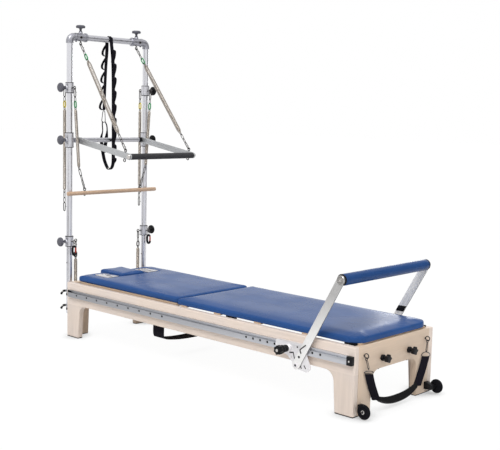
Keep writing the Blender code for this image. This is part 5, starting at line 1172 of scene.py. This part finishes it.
def build_tower_clamps():
    """Two-level clamps that hold the uprights to the head board, with paddle levers and bolts."""
    hinge = ((0, 0.0075), (0.014, 0.0075), (0.016, 0.0065), (0.0195, 0.0065), (0.0205, 0.005))
    tongue = ((0, 0.0062), (0.003, 0.0078), (0.008, 0.0076), (0.0095, 0.0055))
    bolt = ((0, 0.0052), (0.003, 0.0052), (0.004, 0.004))
    for name, side in SIDES:
        y, bolts = side * UPRIGHT_Y, []
        parts = [side_block(side, (-0.0033, -0.0003), (UPRIGHT_Y - 0.0165, UPRIGHT_Y + 0.0165),
                            (0.186, 0.294), 0.0008)]
        outline = oblong((HEAD - 0.0495, HEAD - 0.0003),
                         on_side(side, UPRIGHT_Y - 0.0265, UPRIGHT_Y + 0.0265), (0.022, 0.001, 0.001, 0.022))
        for level in (0.193, 0.287):
            body = slab(outline, "Z", level - 0.015, level + 0.015, 0.001)
            cut(body, bar(at(UPRIGHT_X, y, level - 0.03), at(UPRIGHT_X, y, level + 0.03), 0.0194, 48))
            ear = at(-0.0356, side * (UPRIGHT_Y + 0.02), level)
            tip = ear + Vector((0, side * 0.0195, 0))
            paddle = [tip + Vector((x, side * out, z)) for x, out, z in
                      ((0, -0.004, 0), (-0.005, 0, -0.006), (-0.011, 0.0005, -0.014), (-0.017, 0, -0.0205))]
            parts += [body, turned(hinge, ear, (0, side, 0), 24), wire(paddle, 0.006, 16),
                      turned(tongue, paddle[2], paddle[3] - paddle[2], 20)]
            bolts.append(turned(bolt, ear + Vector((0, side * 0.0198, 0)), (0, side, 0), 6))
        placed(f"clamp_bolts_{name}", bolts, "frame", "bright_steel")
        placed(f"upright_clamp_{name}", parts, "frame", "moulded_black", f"tower_clamp_{name}")


def eye(base, direction, reach, ring_normal, radius=0.009, gauge=0.0028):
    """An eye bolt: shank with a small collar, and the ring at the given reach from its base."""
    axis, base = Vector(direction).normalized(), Vector(base)
    shank = ((0, 0.0045), (0.003, 0.0045), (0.004, 0.0028), (reach - radius + gauge * 0.4, 0.0024))
    return [turned(shank, base, axis, 16), hoop(base + axis * reach, ring_normal, radius, gauge)]


def collar(side, height, length):
    """A turned collar with a shoulder at each end, and the boss for its knob."""
    half, rim = length / 2, 0.0035
    profile = ((-half, 0.0262), (-half + 0.0008, 0.0278), (-half + rim, 0.028), (-half + rim + 0.0006, 0.027),
               (half - rim - 0.0006, 0.027), (half - rim, 0.028), (half - 0.0008, 0.0278), (half, 0.0262))
    boss = ((0, 0.013), (0.009, 0.013), (0.0108, 0.0118), (0.0118, 0.0118))
    return [turned(profile, at(UPRIGHT_X, side * UPRIGHT_Y, height), (0, 0, 1), 56),
            outwards(boss, side, UPRIGHT_X, UPRIGHT_Y + 0.0222, height, 32)]


def knob(base, direction, reach, screw=0.0095):
    """A round hand knob with a domed face, its stem and its screw."""
    stem = ((-screw, 0.0038), (0.0004, 0.0038), (0.0006, 0.0098), (0.003, 0.01), (0.005, 0.0066),
            (reach * 0.55, 0.0076), (reach * 0.8, 0.0085), (reach, 0.0125))
    head = ((0.0016, 0.0262), (0.0042, 0.0288), (0.0085, 0.0294), (0.0135, 0.0285), (0.017, 0.0255),
            (0.0192, 0.019), (0.0199, 0.01))
    return turned([*stem, *((reach + along, radius) for along, radius in head)], base, direction, 44)


def build_collars():
    """Spring collars, push bar collars and lower collars on the uprights, with their eyes and knobs."""
    washer = ((0, 0.0245), (0.0006, 0.0262), (0.0028, 0.0262), (0.0034, 0.0245))
    socket = ((0, 0.015), (0.001, 0.0156), (0.022, 0.0156))
    pivot_pin = ((0, 0.0062), (0.0005, 0.0069), (0.03, 0.0069))
    ring_reach = EYE_REACH - COLLAR_RADIUS
    for name, side in SIDES:
        y = side * UPRIGHT_Y
        sets = (("spring", SPRING_COLLAR_Z, 0.06, "spring_collars"), ("bar", BAR_COLLAR_Z, 0.088, "frame"),
                ("lower", LOWER_COLLAR_Z[name], 0.06, f"lower_collar_{name}"))
        for kind, height, length, body in sets:
            parts = collar(side, height, length)
            washers = [turned(washer, at(UPRIGHT_X, y, height + z), (0, 0, 1), 48)
                       for z in (length / 2 + 0.0001, -length / 2 - 0.0035)]
            if kind == "bar":
                cheek = oblong((HEAD + UPRIGHT_X, HEAD + PUSH_X + 0.012), (height - 0.0145, height + 0.0145),
                               0.005)
                parts.append(slab(cheek, "Y", *on_side(side, 0.2735, 0.29), 0.001))
                parts.append(outwards(socket, side, PUSH_X, 0.2672, height, 36))
                eyes = [outwards(pivot_pin, side, PUSH_X, 0.2362, height, 28)]
            else:
                eyes = eye(at(UPRIGHT_X + COLLAR_RADIUS, y, height), (1, 0, 0), ring_reach, (0, 1, 0))
            if kind == "spring":
                eyes += eye(at(UPRIGHT_X - COLLAR_RADIUS, y, height), (-1, 0, 0), ring_reach, (0, 1, 0))
            if kind == "lower":
                eyes += eye(at(UPRIGHT_X, y - side * COLLAR_RADIUS, height), (0, -side, 0),
                            SIDE_EYE_REACH - COLLAR_RADIUS, (1, 0, 0))
            node = f"{kind}_collar_{name}"
            placed(f"{node}_body", parts, body, "grey_casting", node)
            placed(f"{node}_washers", washers, body, "moulded_black")
            placed(f"{node}_eyes", eyes, body, "hook_steel")
            head = knob(at(UPRIGHT_X, y + side * 0.034, height), (0, side, 0), 0.026)
            node = f"{kind}_collar_knob_{name}"
            # Painted light and shade: the same knobs take the grey finish on the left, where they face the
            # light, and the black one on the right, where they face away.
            placed(f"{kind}_knob_{name}", head, node, "grey_knob" if side < 0 else "moulded_black", node)


def build_top_sleeves():
    """Sleeves on the top tube with end collars, set screws, clamping knobs and spring eyes."""
    half = 0.043
    profile = ((-half, 0.0255), (-half + 0.0008, 0.0278), (-half + 0.011, 0.028), (-half + 0.012, 0.025),
               (half - 0.004, 0.025), (half - 0.0034, 0.0258), (half - 0.0008, 0.0258), (half, 0.0235))
    boss = ((0, 0.0135), (0.01, 0.013), (0.014, 0.0105), (0.015, 0.0085))
    screw = ((0, 0.0055), (0.0045, 0.0055), (0.0055, 0.0045))
    bolt = ((0, 0.0085), (0.003, 0.0085), (0.004, 0.007), (0.0034, 0.004))
    for name, side in SIDES:
        start = at(UPRIGHT_X, side * SLEEVE_Y, TOP_TUBE_Z)
        parts = [turned(profile, start, (0, side, 0), 56), turned(boss, start + up(0.0215), (0, 0, 1), 32)]
        placed(f"sleeve_{name}", parts, "frame", "bend_casting", f"top_sleeve_{name}")
        parts = [knob(start + up(0.0365), (0, 0, 1), 0.0195, 0.004),
                 turned(screw, start + Vector((0, side * (half - 0.008), -0.0245)), (0, 0, -1), 24)]
        placed(f"sleeve_knob_{name}", parts, "frame", "grey_knob")
        head = turned(bolt, start + Vector((0.0235, side * 0.012, -0.002)), (1, 0, 0), 28)
        placed(f"sleeve_bolt_{name}", head, "frame", "hook_steel")
        parts = eye(start - up(0.0245), (0, 0, -1), SLEEVE_EYE_DROP - 0.0245, (0, 1, 0))
        placed(f"sleeve_eye_{name}", parts, "frame", "hook_steel")


def push_point(along, above=0.0):
    """A point on the push bar's side, as a pair of X and Z."""
    return Vector((PUSH_X + along * math.cos(PUSH_DROP) + above * math.sin(PUSH_DROP),
                   BAR_COLLAR_Z - along * math.sin(PUSH_DROP) + above * math.cos(PUSH_DROP)))


def build_push_bar():
    """Push-through bar: flat arms, pivot tube, front rod with its foam grip, eyes and end caps."""
    pivot, front = push_point(0), push_point(PUSH_LENGTH)
    bush = ((0, 0.016), (0.001, 0.0172), (0.015, 0.0172), (0.016, 0.016))
    cap = ((0, 0.0135), (0.001, 0.015), (0.0065, 0.015), (0.009, 0.0125))
    tubes = [crossbar(1, PUSH_X, BAR_COLLAR_Z, (-0.234, 0.234), 0.0152, 36, 0.0005)]
    arms, eyes, bushes, caps = [], [], [], []
    for _, side in SIDES:
        low, high = on_side(side, PUSH_ARM_Y - 0.004, PUSH_ARM_Y + 0.004)
        arm = slab(link_outline((HEAD + pivot.x, pivot.y), (HEAD + front.x, front.y), 0.019), "Y", low, high)
        cut(arm, crossbar(1, PUSH_X, BAR_COLLAR_Z, (low - 0.01, high + 0.01), 0.0075, 32))
        arms.append(eased(arm, 0.001, 3, 50))
        for above in (1, -1):
            foot, centre = (push_point(PUSH_EYE, above * rise) for rise in (0.0185, PUSH_EYE_RISE))
            way = Vector((centre.x - foot.x, 0, centre.y - foot.y))
            eyes += eye(at(foot.x, side * PUSH_ARM_Y, foot.y), way, way.length, (0, 1, 0))
        bushes.append(turned(bush, at(PUSH_X, side * 0.2575, BAR_COLLAR_Z), (0, -side, 0), 36))
        caps.append(outwards(cap, side, front.x, 0.2662, front.y, 32))
    tubes.append(crossbar(1, front.x, front.y, (-0.2665, 0.2665), 0.0133, 32))
    placed("push_bar_arms", arms, "push_bar", "arm_aluminium", "push_bar")
    placed("push_bar_caps", caps, "push_bar", "bright_steel")
    placed("push_bar_tubes", tubes, "push_bar", "cross_aluminium")
    placed("push_bar_eyes", eyes, "push_bar", "hook_steel")
    placed("push_bar_bushes", bushes, "push_bar", "moulded_black")
    half, radius = 0.2572, 0.0184
    profile = [(-half, 0.015), (-half + 0.001, 0.0176), (-half + 0.003, radius)]
    profile += [(-half + 0.003 + (2 * half - 0.006) * i / 20, radius + 0.00015 * math.sin(i * 1.7))
                for i in range(1, 20)]
    profile += [(half - 0.003, radius), (half - 0.001, 0.0176), (half, 0.015)]
    grip = turned(profile, at(front.x, 0, front.y), (0, 1, 0), 40)
    placed("push_bar_foam", grip, "push_bar", "grip_foam", "push_bar_grip")


def build_roll_down_bar():
    """Turned maple dowel with its eye bolts and nuts."""
    x, half, radius = UPRIGHT_X + EYE_REACH, 0.365, 0.013
    profile = ((-half, 0.0105), (-0.364, 0.012), (-0.361, radius), (0.361, radius), (0.364, 0.012),
               (half, 0.0105))
    placed("roll_down_dowel", turned(profile, at(x, 0, DOWEL_Z), (0, 1, 0), 40), "roll_down", "dowel_maple",
           "roll_down_bar")
    nut = ((0, 0.007), (0.0012, 0.007), (0.0012, 0.0052), (0.0052, 0.0052), (0.006, 0.0044))
    parts = []
    for side in (-1, 1):
        parts += eye(at(x, side * DOWEL_Y, DOWEL_Z + DOWEL_TOP), (0, 0, 1), DOWEL_EYE_REACH, (1, 0, 0))
        parts.append(turned(nut, at(x, side * DOWEL_Y, DOWEL_Z - DOWEL_TOP), (0, 0, -1), 24))
    placed("dowel_eyes", parts, "roll_down", "hook_steel")


# Springs


def coil(start, end, radius, gauge, pitch, neck):
    """A wound coil whose ends taper to a neck: a wire section screwed along, tapered and set up."""
    start, end = Vector(start), Vector(end)
    length = (end - start).length
    turns = int(length / pitch)
    deselect()
    bpy.ops.mesh.primitive_circle_add(vertices=6, radius=gauge, fill_type="NOTHING",
                                      rotation=(math.pi / 2, 0, 0), location=(radius, 0, 0))
    piece = settle(bpy.context.object)
    applied(piece, "SCREW", axis="Z", angle=math.tau * turns, steps=11 * turns, render_steps=11 * turns,
            screw_offset=length, use_merge_vertices=False, use_smooth_shade=True)
    for vert in piece.data.vertices:
        share = clipped(min(vert.co.z, length - vert.co.z) / (pitch * 4))
        full = neck + (1 - neck) * math.sin(share * math.pi / 2)
        distance = Vector((vert.co.x, vert.co.y)).length
        if distance > 1e-9:
            target = radius * full + (distance - radius)
            vert.co.x *= target / distance
            vert.co.y *= target / distance
    opened(piece)
    bpy.ops.mesh.select_all(action="DESELECT")
    bpy.ops.mesh.select_non_manifold()
    bpy.ops.mesh.edge_face_add()
    outward(piece)
    return aimed(piece, start, end - start)


def oval(top, bottom, half_width, gauge, across, narrow=1.0):
    """A closed oval link of wire between two points, its near end narrower where it is a snap hook."""
    top, bottom, across = Vector(top), Vector(bottom), Vector(across)
    along = bottom - top
    reach = min(half_width, along.length / 2)
    along.normalize()
    across = (across - along * across.dot(along)).normalized()
    points = []
    for centre, way, wide in ((top, 1, half_width * narrow), (bottom, -1, half_width)):
        for i in range(8):
            angle = math.pi * i / 7
            points.append(centre + along * way * (reach - reach * math.sin(angle))
                          + across * way * wide * math.cos(angle))
    return wire(points, gauge, 10, closed=True)


def chain_end(eye_centre, coil_end, across, ring=True):
    """Snap hook from an eye, its links and the coil's own end loop; and a ring or a plain link."""
    eye_centre, coil_end, across = Vector(eye_centre), Vector(coil_end), Vector(across)
    line = coil_end - eye_centre
    length = line.length
    line.normalize()
    other = line.cross(across).normalized()
    flat = (across - line * across.dot(line)).normalized()
    hook_end, ring_start, ring_end = (eye_centre + line * (length * share) for share in (0.42, 0.6, 0.93))
    middle_of_hook = (eye_centre + hook_end) / 2
    swivel = ((0, 0.0024), (0.001, 0.005), (0.008, 0.005), (0.01, 0.0024))
    parts = [oval(eye_centre + line * 0.003, hook_end, 0.007, 0.0027, across, 0.8),
             turned(swivel, hook_end - line * 0.0045, line, 14),
             bar(middle_of_hook + flat * 0.005, middle_of_hook + flat * 0.0135, 0.002, 10),
             oval(hook_end + line * 0.003, ring_start + line * 0.008, 0.0064, 0.0022, across),
             oval(ring_end - line * 0.005, coil_end + line * 0.002, 0.0062, 0.0021, across)]
    half_width, gauge = (0.0092, 0.004) if ring else (0.007, 0.0022)
    return parts, oval(ring_start + line * 0.004, ring_end, half_width, gauge, other)


def hooked_coil(high, start, end, low, ways, wound):
    """A coil with a chain at each end: the coil, the upper chain, its ring and the lower chain."""
    body = coil(start, end, *wound)
    upper, ring = chain_end(high, start, ways[0])
    lower, link = chain_end(low, end, ways[1], ring=False)
    return body, upper, ring, [*lower, link]


def build_springs():
    """Eight wound springs with their hooks, links and coloured rings."""
    sizes = bpy.context.scene.reformer_sizes
    stretched, resting = (0.0114, 0.0026, sizes.open_pitch, 0.35), (0.0091, 0.0013, sizes.close_pitch, 0.35)
    lowest = (0.0102, 0.0014, sizes.close_pitch, 0.3)
    front_x, back_x = UPRIGHT_X + EYE_REACH, UPRIGHT_X - EYE_REACH
    along_y, along_x = (0, 1, 0), (1, 0, 0)
    for name, side in SIDES:
        top_eye = at(UPRIGHT_X, side * SLEEVE_Y, TOP_TUBE_Z - SLEEVE_EYE_DROP)
        low = push_point(PUSH_EYE, PUSH_EYE_RISE)
        low_eye = at(low.x, side * PUSH_ARM_Y, low.y)
        line = (low_eye - top_eye).normalized()
        body, upper, ring, lower = hooked_coil(top_eye, top_eye + line * 0.135, low_eye - line * 0.125,
                                               low_eye, (along_y, along_y), stretched)
        for piece in (
                placed(f"push_spring_{name}", body, "frame", "spring_wire", f"top_spring_{name}", 60),
                placed(f"push_spring_hooks_{name}", upper, "frame", "hook_steel"),
                placed(f"push_spring_ring_{name}", ring, "frame", "green_ring"),
                placed(f"push_spring_links_{name}", lower, "push_bar", "hook_steel")):
            unparent_and_blend(piece)

        spots = [at(front_x, side * y, z) for y, z in
                 ((UPRIGHT_Y, SPRING_COLLAR_Z), (0.306, 1.446), (0.278, 1.08),
                  (DOWEL_Y, DOWEL_Z + DOWEL_TOP + DOWEL_EYE_REACH))]
        body, upper, ring, lower = hooked_coil(*spots, (along_y, along_x), resting)
        placed(f"roll_spring_{name}", body, "roll_down", "spring_wire", f"roll_down_spring_{name}", 60)
        placed(f"roll_spring_hooks_{name}", upper + lower, "roll_down", "hook_steel")
        placed(f"roll_spring_ring_{name}", ring, "roll_down", "green_ring")

        high, start, end = (at(back_x, side * UPRIGHT_Y, z) for z in (SPRING_COLLAR_Z, 1.447, 0.93))
        body, upper, ring, lower = hooked_coil(high, start, end, end - up(0.135), (along_y, along_y), resting)
        node = f"hanging_spring_{name}"
        placed(f"spare_spring_{name}", body, node, "spring_wire", node, 60)
        placed(f"spare_spring_hooks_{name}", upper + lower, node, "hook_steel")
        placed(f"spare_spring_ring_{name}", ring, node, "yellow_ring")

        high = at(UPRIGHT_X, side * (UPRIGHT_Y - SIDE_EYE_REACH), LOWER_COLLAR_Z[name])
        start, end = high - up(0.115), high - up(0.485)
        body, upper, ring, lower = hooked_coil(high, start, end, end - up(0.05), (along_x, along_x), lowest)
        node = f"lower_spring_{name}"
        placed(f"low_spring_{name}", body, node, "spring_wire", node, 60)
        placed(f"low_spring_hooks_{name}", [*upper, ring, *lower], node, "hook_steel")
        build_carabiner(name, side)


def unparent_and_blend(piece):
    """Lets a spring follow the frame at its top and the push bar at its foot."""
    piece.parent = None
    piece.matrix_world = Matrix.Identity(4)
    if "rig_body" in piece:
        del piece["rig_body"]
    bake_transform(piece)


def build_carabiner(name, side):
    """A black and red spare carabiner on a lower collar's forward eye."""
    hang = at(UPRIGHT_X + EYE_REACH, side * UPRIGHT_Y, LOWER_COLLAR_Z[name] - 0.0105)
    top = hang - up(0.0175)
    spine, gate = ([top + Vector(offset) * 1.25 for offset in run] for run in (
        ((0, 0.009, -0.006), (0, 0.004, -0.001), (0, -0.005, -0.001), (0, -0.0105, -0.008),
         (0, -0.0105, -0.03), (0, -0.006, -0.043), (0, 0.002, -0.046), (0, 0.01, -0.041), (0, 0.011, -0.034)),
        ((0.004, 0.0065, -0.007), (0.006, 0.0062, -0.02), (0.004, 0.0065, -0.033))))
    body = f"lower_collar_{name}"
    link = oval(hang + up(0.003), hang - up(0.022), 0.005, 0.0014, (0, 1, 0))
    placed(f"carabiner_link_{name}", link, body, "hook_steel")
    placed(f"carabiner_{name}", wire(spine, 0.0072, 14), body, "moulded_black")
    placed(f"carabiner_gate_{name}", wire(gate, 0.005, 12), body, "red_gate")


# Webbing


def build_sling():
    """Trapeze sling: daisy chain webbing over the top tube, a steel hook and the padded loop."""
    ride, across, loop_pitch = "trapeze_sling", (0, 1, 0), 0.0868
    radius = TUBE + 0.0028
    over = [at(UPRIGHT_X + radius * math.cos(angle), 0, TOP_TUBE_Z + radius * math.sin(angle))
            for angle in [math.pi * (1 - step / 12) for step in range(13)]]
    back = [at(*spot) for spot in (
        (UPRIGHT_X - radius - 0.001, 0, 1.87), (-0.046, 0, 1.82), (-0.0502, -0.003, 1.74),
        (-0.0543, -0.007, 1.6), (-0.0565, -0.01, 1.5), (-0.057, -0.012, 1.445))]
    front = [at(x, 0, z) for x, z in (
        (UPRIGHT_X + radius + 0.001, 1.87), (0.009, 1.82), (0.018, 1.74), (0.023, 1.6), (0.025, 1.45),
        (0.0275, 1.3), (0.0285, 1.2), (0.027, 1.104))]
    line = smooth_line(back[::-1], 4) + over + smooth_line(front, 4)
    turn = lambda share: Vector((-0.2, 0.98, 0)).lerp(Vector(across), clipped((share - 0.2) / 0.12))
    parts = [strap(line, turn, 0.027, 0.004)]
    out = Vector((-0.9, -0.43, 0))
    for i in range(5):
        base = at(-0.0475 - 0.0024 * i, -0.0028 * i, 1.792 - loop_pitch * i)
        loop = [base + out * reach + up(rise) for reach, rise in
                ((0.001, 0.074), (0.008, 0.066), (0.02, 0.048), (0.029, 0.026), (0.0275, 0.01),
                 (0.016, 0.001), (0.001, 0.000))]
        parts.append(strap(smooth_line(loop, 4), (-0.3, 0.95, 0), 0.024, 0.0032))
    last = 8
    for i in range(last + 1):
        x = 0.0135 if i == 0 else 0.02 + 0.0011 * i
        loop = [at(x + reach, 0, 1.829 - loop_pitch * i + rise * (0.45 if i == last else 1.0))
                for reach, rise in ((-0.002, 0.003), (0.008, 0.0), (0.0165, -0.006), (0.0175, -0.022),
                                    (0.0125, -0.044), (0.004, -0.064), (0, -0.078))]
        parts.append(strap(smooth_line(loop, 4), across, 0.027, 0.0028))
    placed("daisy_chain", parts, ride, "strap_webbing", "trapeze_sling")
    hook = oval(at(-0.057, -0.012, 1.44), at(-0.059, -0.014, 1.364), 0.0125, 0.0024, (0.3, 1, 0.1), 0.6)
    placed("sling_hook", hook, ride, "hook_steel")
    outer = ((0.008, 1.372), (0.009, 1.345), (0.008, 1.312), (0.012, 1.292), (0.02, 1.268), (0.021, 1.24),
             (0.017, 1.205), (0.012, 1.165), (0.003, 1.118), (-0.012, 1.08), (-0.028, 1.059), (-0.046, 1.064),
             (-0.058, 1.085), (-0.063, 1.115), (-0.064, 1.15))
    inner = ((-0.01, 1.37), (-0.02, 1.345), (-0.022, 1.31), (-0.016, 1.266), (-0.009, 1.225),
             (-0.001, 1.19), (0.004, 1.165))
    outer_width = lambda share: 0.008 + 0.02 * clipped((share - 0.16) / 0.14)
    inner_width = lambda share: 0.009 + 0.022 * clipped((share - 0.28) / 0.25)
    strands = []
    for points, width in ((outer, outer_width), (inner, inner_width)):
        spots = []
        for reach, z in points:
            moved = min(1.0, 0.35 + 0.65 * (z - 1.06) / 0.3)
            if reach <= 0:
                moved *= max(0.0, 1 + reach / 0.064)
            spots.append(at(-0.046 - 0.012 * moved - reach * (0.93 if reach > 0 else 1.18),
                            -0.014 * moved - 0.36 * max(reach, 0), z))
        strands.append(strap(smooth_line(spots, 5), across, width, 0.0042, 4, 1))
    rivet = turned(((0, 0.0035), (0.0012, 0.0035), (0.0018, 0.0022)), at(-0.017, -0.005, 1.064),
                   (0.5, -0.5, 0.3), 14)
    placed("sling_rivet", rivet, ride, "bright_steel")
    placed("sling_loop", strands, ride, "strap_webbing")


def build_foot_strap():
    """Foot strap: snap hooks and D-rings on the eye bolts, webbing and a padded handle."""
    x, ride, across = FRAME_LENGTH + 0.02, "foot_strap", Vector((0.6, 0.8, 0))
    high, low, out, near = 0.208, 0.072, 0.252, 0.186
    line = [(out - (out - near) * share ** 1.2, high + (low - high) * share)
            for share in (step / 3 for step in range(4))]
    handle = [at(x, share * 0.18, low - 0.036 * (1 - abs(share) ** 2.4))
              for share in (step / 14 * 2 - 1 for step in range(15))]
    swivel = ((0, 0.0024), (0.001, 0.0045), (0.006, 0.0045), (0.0075, 0.0024))
    web, metal = [], []
    for side in (-1, 1):
        points = [at(x, side * y, z) for y, z in line]
        end = (points[-1] - points[-2]).normalized()
        seam = [points[-1] + end * reach for reach in (-0.014, 0.0, 0.01)]
        web += [strap(smooth_line(points, 4), across, 0.043, 0.0042), strap(seam, across, 0.045, 0.01)]
        eye_at = at(FRAME_LENGTH + 0.0155, side * FOOT_EYE_Y, FOOT_EYE_Z)
        top = at(x, side * 0.2535, 0.217)
        metal.append(hoop(eye_at - up(0.015), (1, 0, 0), 0.0078, 0.002))
        metal.append(oval(eye_at - Vector((-0.001, side * 0.002, 0.02)),
                          top + Vector((0, side * 0.003, 0.02)), 0.0055, 0.0018, (0, 1, 0), 0.8))
        metal.append(turned(swivel, top + Vector((0, side * 0.003, 0.021)), (0, 0, -1), 16))
        flatness = 0.45 if side < 0 else 1.0
        ring = [top + across * reach + up(rise * flatness) for reach, rise in
                ((-0.0235, -0.01), (-0.0225, 0.003), (-0.013, 0.0125), (0.0, 0.015), (0.013, 0.0125),
                 (0.0225, 0.003), (0.0235, -0.01))]
        metal.append(wire(ring, 0.0022, 12, closed=True))
    placed("foot_strap_webbing", web, ride, "strap_webbing", "foot_strap")
    placed("foot_strap_hooks", metal, ride, "hook_steel")
    wide = lambda share: 0.024 + 0.017 * math.sin(math.pi * share) ** 0.6
    band = strap(smooth_line(handle, 2), (0.5, 0, -0.87), wide, 0.013, 4, 1)
    placed("foot_strap_handle", band, ride, "handle_vinyl")


def build_foot_hardware():
    """Foot board eye bolts, star knobs, wheel brackets and transport wheels."""
    wheel_x, wheel_y, wheel_z, half = FRAME_LENGTH + 0.05, 0.325, 0.04, 0.0075
    tyre = ((-half, 0.0265), (-half, 0.03), (-half + 0.0015, 0.035), (-half + 0.004, 0.037), (0, 0.0375),
            (half - 0.004, 0.037), (half - 0.0015, 0.035), (half, 0.03), (half, 0.0265),
            (half - 0.0025, 0.0255), (half - 0.003, 0.018), (half - 0.0005, 0.016),
            (half - 0.0005, 0.0108), (half - 0.002, 0.0072))
    hub = ((half - 0.003, 0.0068), (half + 0.0004, 0.0068), (half + 0.0008, 0.01), (half + 0.0022, 0.0098),
           (half + 0.0032, 0.0078))
    wall, low, top = FRAME_LENGTH, 0.0245, 0.062
    outline = [(wall - 0.001, low), (wall + 0.052, low), (wall + 0.052, 0.048), (wall + 0.014, top),
               (wall - 0.001, top)]
    outline = from_head(rounded(outline, [0, 0.012, 0.01, 0.01, 0], 6))
    eyes = []
    for name, side in SIDES:
        eyes += eye(at(wall - 0.0005, side * FOOT_EYE_Y, FOOT_EYE_Z), (1, 0, 0), 0.0165, (0, 1, 0), 0.0118,
                    0.0026)
        start = at(wall + 0.0003, side * STAR_Y, STAR_Z)
        parts = [star(0.0168, 6, start, 0.0, 0.014, 0.05),
                 turned(((0.01, 0.0075), (0.03, 0.0075)), start, (1, 0, 0), 24),
                 star(0.0222, 5, start, 0.027, 0.0457, 0.15)]
        node = f"star_knob_{name}"
        placed(f"star_{name}", parts, node, "moulded_black", node)
        node = f"transport_wheel_{name}"
        placed(f"rolling_wheel_{name}", outwards(tyre, side, wheel_x, wheel_y, wheel_z, 56), node,
               "black_rubber", node)
        placed(f"wheel_hub_{name}", outwards(hub, side, wheel_x, wheel_y, wheel_z, 32), "frame",
               "bright_steel")
        parts = [slab(outline, "Y", *on_side(side, 0.2784, 0.3084), 0.0012),
                 crossbar(side, wheel_x, wheel_z, (0.3, 0.3385), 0.006, 20)]
        placed(f"wheel_bracket_{name}", parts, "frame", "moulded_black")
    placed("foot_board_eyes", eyes, "frame", "hook_steel")


# Add-on


def colour(name, value, words):
    return bpy.props.FloatVectorProperty(name=name, description=words, subtype="COLOR", size=3, min=0.0,
                                         max=1.0, default=value)


def measure(name, value, least, words):
    return bpy.props.FloatProperty(name=name, description=words, default=value, min=least, max=0.02,
                                   unit="LENGTH")


class ReformerColours(bpy.types.PropertyGroup):
    """Colours of the reformer's finishes"""
    maple: colour("Maple", (0.87, 0.75, 0.67), "Lacquered maple of the side boards")
    end_maple: colour("End maple", (0.77, 0.61, 0.475), "Lacquered maple of the end boards")
    dowel: colour("Dowel", (0.62, 0.43, 0.3), "Maple of the roll-down bar")
    plywood: colour("Plywood", (0.7, 0.52, 0.37), "Carriage deck and mat board")
    vinyl: colour("Vinyl", (0.026, 0.084, 0.262), "Upholstery of the pads")
    handle: colour("Handle", (0.01, 0.01, 0.011), "Padded handle of the foot strap")
    rail: colour("Rail", (0.62, 0.63, 0.67), "Anodised slide rails")
    tube: colour("Tube", (0.77, 0.77, 0.81), "Tower tubes")
    # Painted shade: a darker copy of the tube colour, for the duller reflections of the level tubes.
    cross: colour("Cross tubes", (0.56, 0.56, 0.6), "Top tube and the push bar's tubes")
    arm: colour("Arm", (0.53, 0.54, 0.55), "Arms of the push-through bar")
    steel: colour("Steel", (0.95, 0.94, 0.93), "Footbar arms")
    plate: colour("Plate", (0.86, 0.84, 0.86), "Polished plates")
    casting: colour("Casting", (0.69, 0.69, 0.73), "Collars and sleeves")
    # Darker than the collars' casting: partly the bends' own grey, partly painted shade for their dark
    # reflections; the sleeves take it too.
    bend: colour("Bends", (0.39, 0.39, 0.43), "Bends of the tower's tubes")
    bright: colour("Bright steel", (0.62, 0.6, 0.58), "Caps, plates and screws")
    hook: colour("Hook steel", (0.085, 0.078, 0.078), "Snap hooks, links and eyes")
    black: colour("Black", (0.008, 0.008, 0.01), "Moulded knobs, clamps and stops")
    knob: colour("Knob", (0.115, 0.115, 0.14), "Collar knobs")
    foam: colour("Foam", (0.03, 0.03, 0.034), "Push bar grip")
    webbing: colour("Webbing", (0.013, 0.0115, 0.018), "Straps")
    spring: colour("Spring", (0.52, 0.465, 0.41), "Spring wire")
    yellow: colour("Yellow", (0.75, 0.6, 0.05), "Rings of the light springs")
    green: colour("Green", (0.05, 0.32, 0.12), "Rings of the medium springs")
    red: colour("Red", (0.5, 0.06, 0.04), "Carabiner gates")


class ReformerSizes(bpy.types.PropertyGroup):
    """Sizes that a user may change"""
    open_pitch: measure("Open pitch", 0.0085, 0.0044, "Pitch of the stretched push bar springs")
    close_pitch: measure("Close pitch", 0.0031, 0.0028, "Pitch of the resting springs")


def step(label, build):
    """An operator that builds one group of pieces, named after its function."""
    def execute(self, context):
        build()
        return {"FINISHED"}
    idname = build.__name__.removeprefix("build_")
    return type("REFORMER_OT_" + idname, (bpy.types.Operator,),
                {"__doc__": build.__doc__, "bl_idname": "reformer." + idname, "bl_label": label,
                 "execute": execute})


STEPS = [
    step("Stage", build_stage),
    step("Timber frame", build_timber),
    step("Slide rails", build_rails),
    step("Well sling", build_well_strap),
    step("Carriage", build_carriage),
    step("Upholstery", build_upholstery),
    step("Footbar bases", build_footbar_bases),
    step("Footbar", build_footbar),
    step("Tower tubes", build_tower_tubes),
    step("Tower clamps", build_tower_clamps),
    step("Collars", build_collars),
    step("Top sleeves", build_top_sleeves),
    step("Push-through bar", build_push_bar),
    step("Roll-down bar", build_roll_down_bar),
    step("Springs", build_springs),
    step("Trapeze sling", build_sling),
    step("Foot strap", build_foot_strap),
    step("Foot hardware", build_foot_hardware),
]


class REFORMER_PT_panel(bpy.types.Panel):
    """Lists the steps that build the reformer"""
    bl_idname = "REFORMER_PT_panel"
    bl_label = "Reformer"
    bl_space_type = "VIEW_3D"
    bl_region_type = "UI"
    bl_category = "Reformer"

    def draw(self, context):
        for entry in STEPS:
            self.layout.operator(entry.bl_idname)


CLASSES = [ReformerColours, ReformerSizes, *STEPS, REFORMER_PT_panel]


def register():
    for entry in CLASSES:
        bpy.utils.register_class(entry)
    bpy.types.Scene.reformer_colours = bpy.props.PointerProperty(type=ReformerColours)
    bpy.types.Scene.reformer_sizes = bpy.props.PointerProperty(type=ReformerSizes)


def unregister():
    del bpy.types.Scene.reformer_sizes
    del bpy.types.Scene.reformer_colours
    for entry in reversed(CLASSES):
        bpy.utils.unregister_class(entry)


def main():
    register()
    for entry in STEPS:
        group, name = entry.bl_idname.split(".")
        getattr(getattr(bpy.ops, group), name)()
    deselect()


if __name__ == "__main__":
    main()
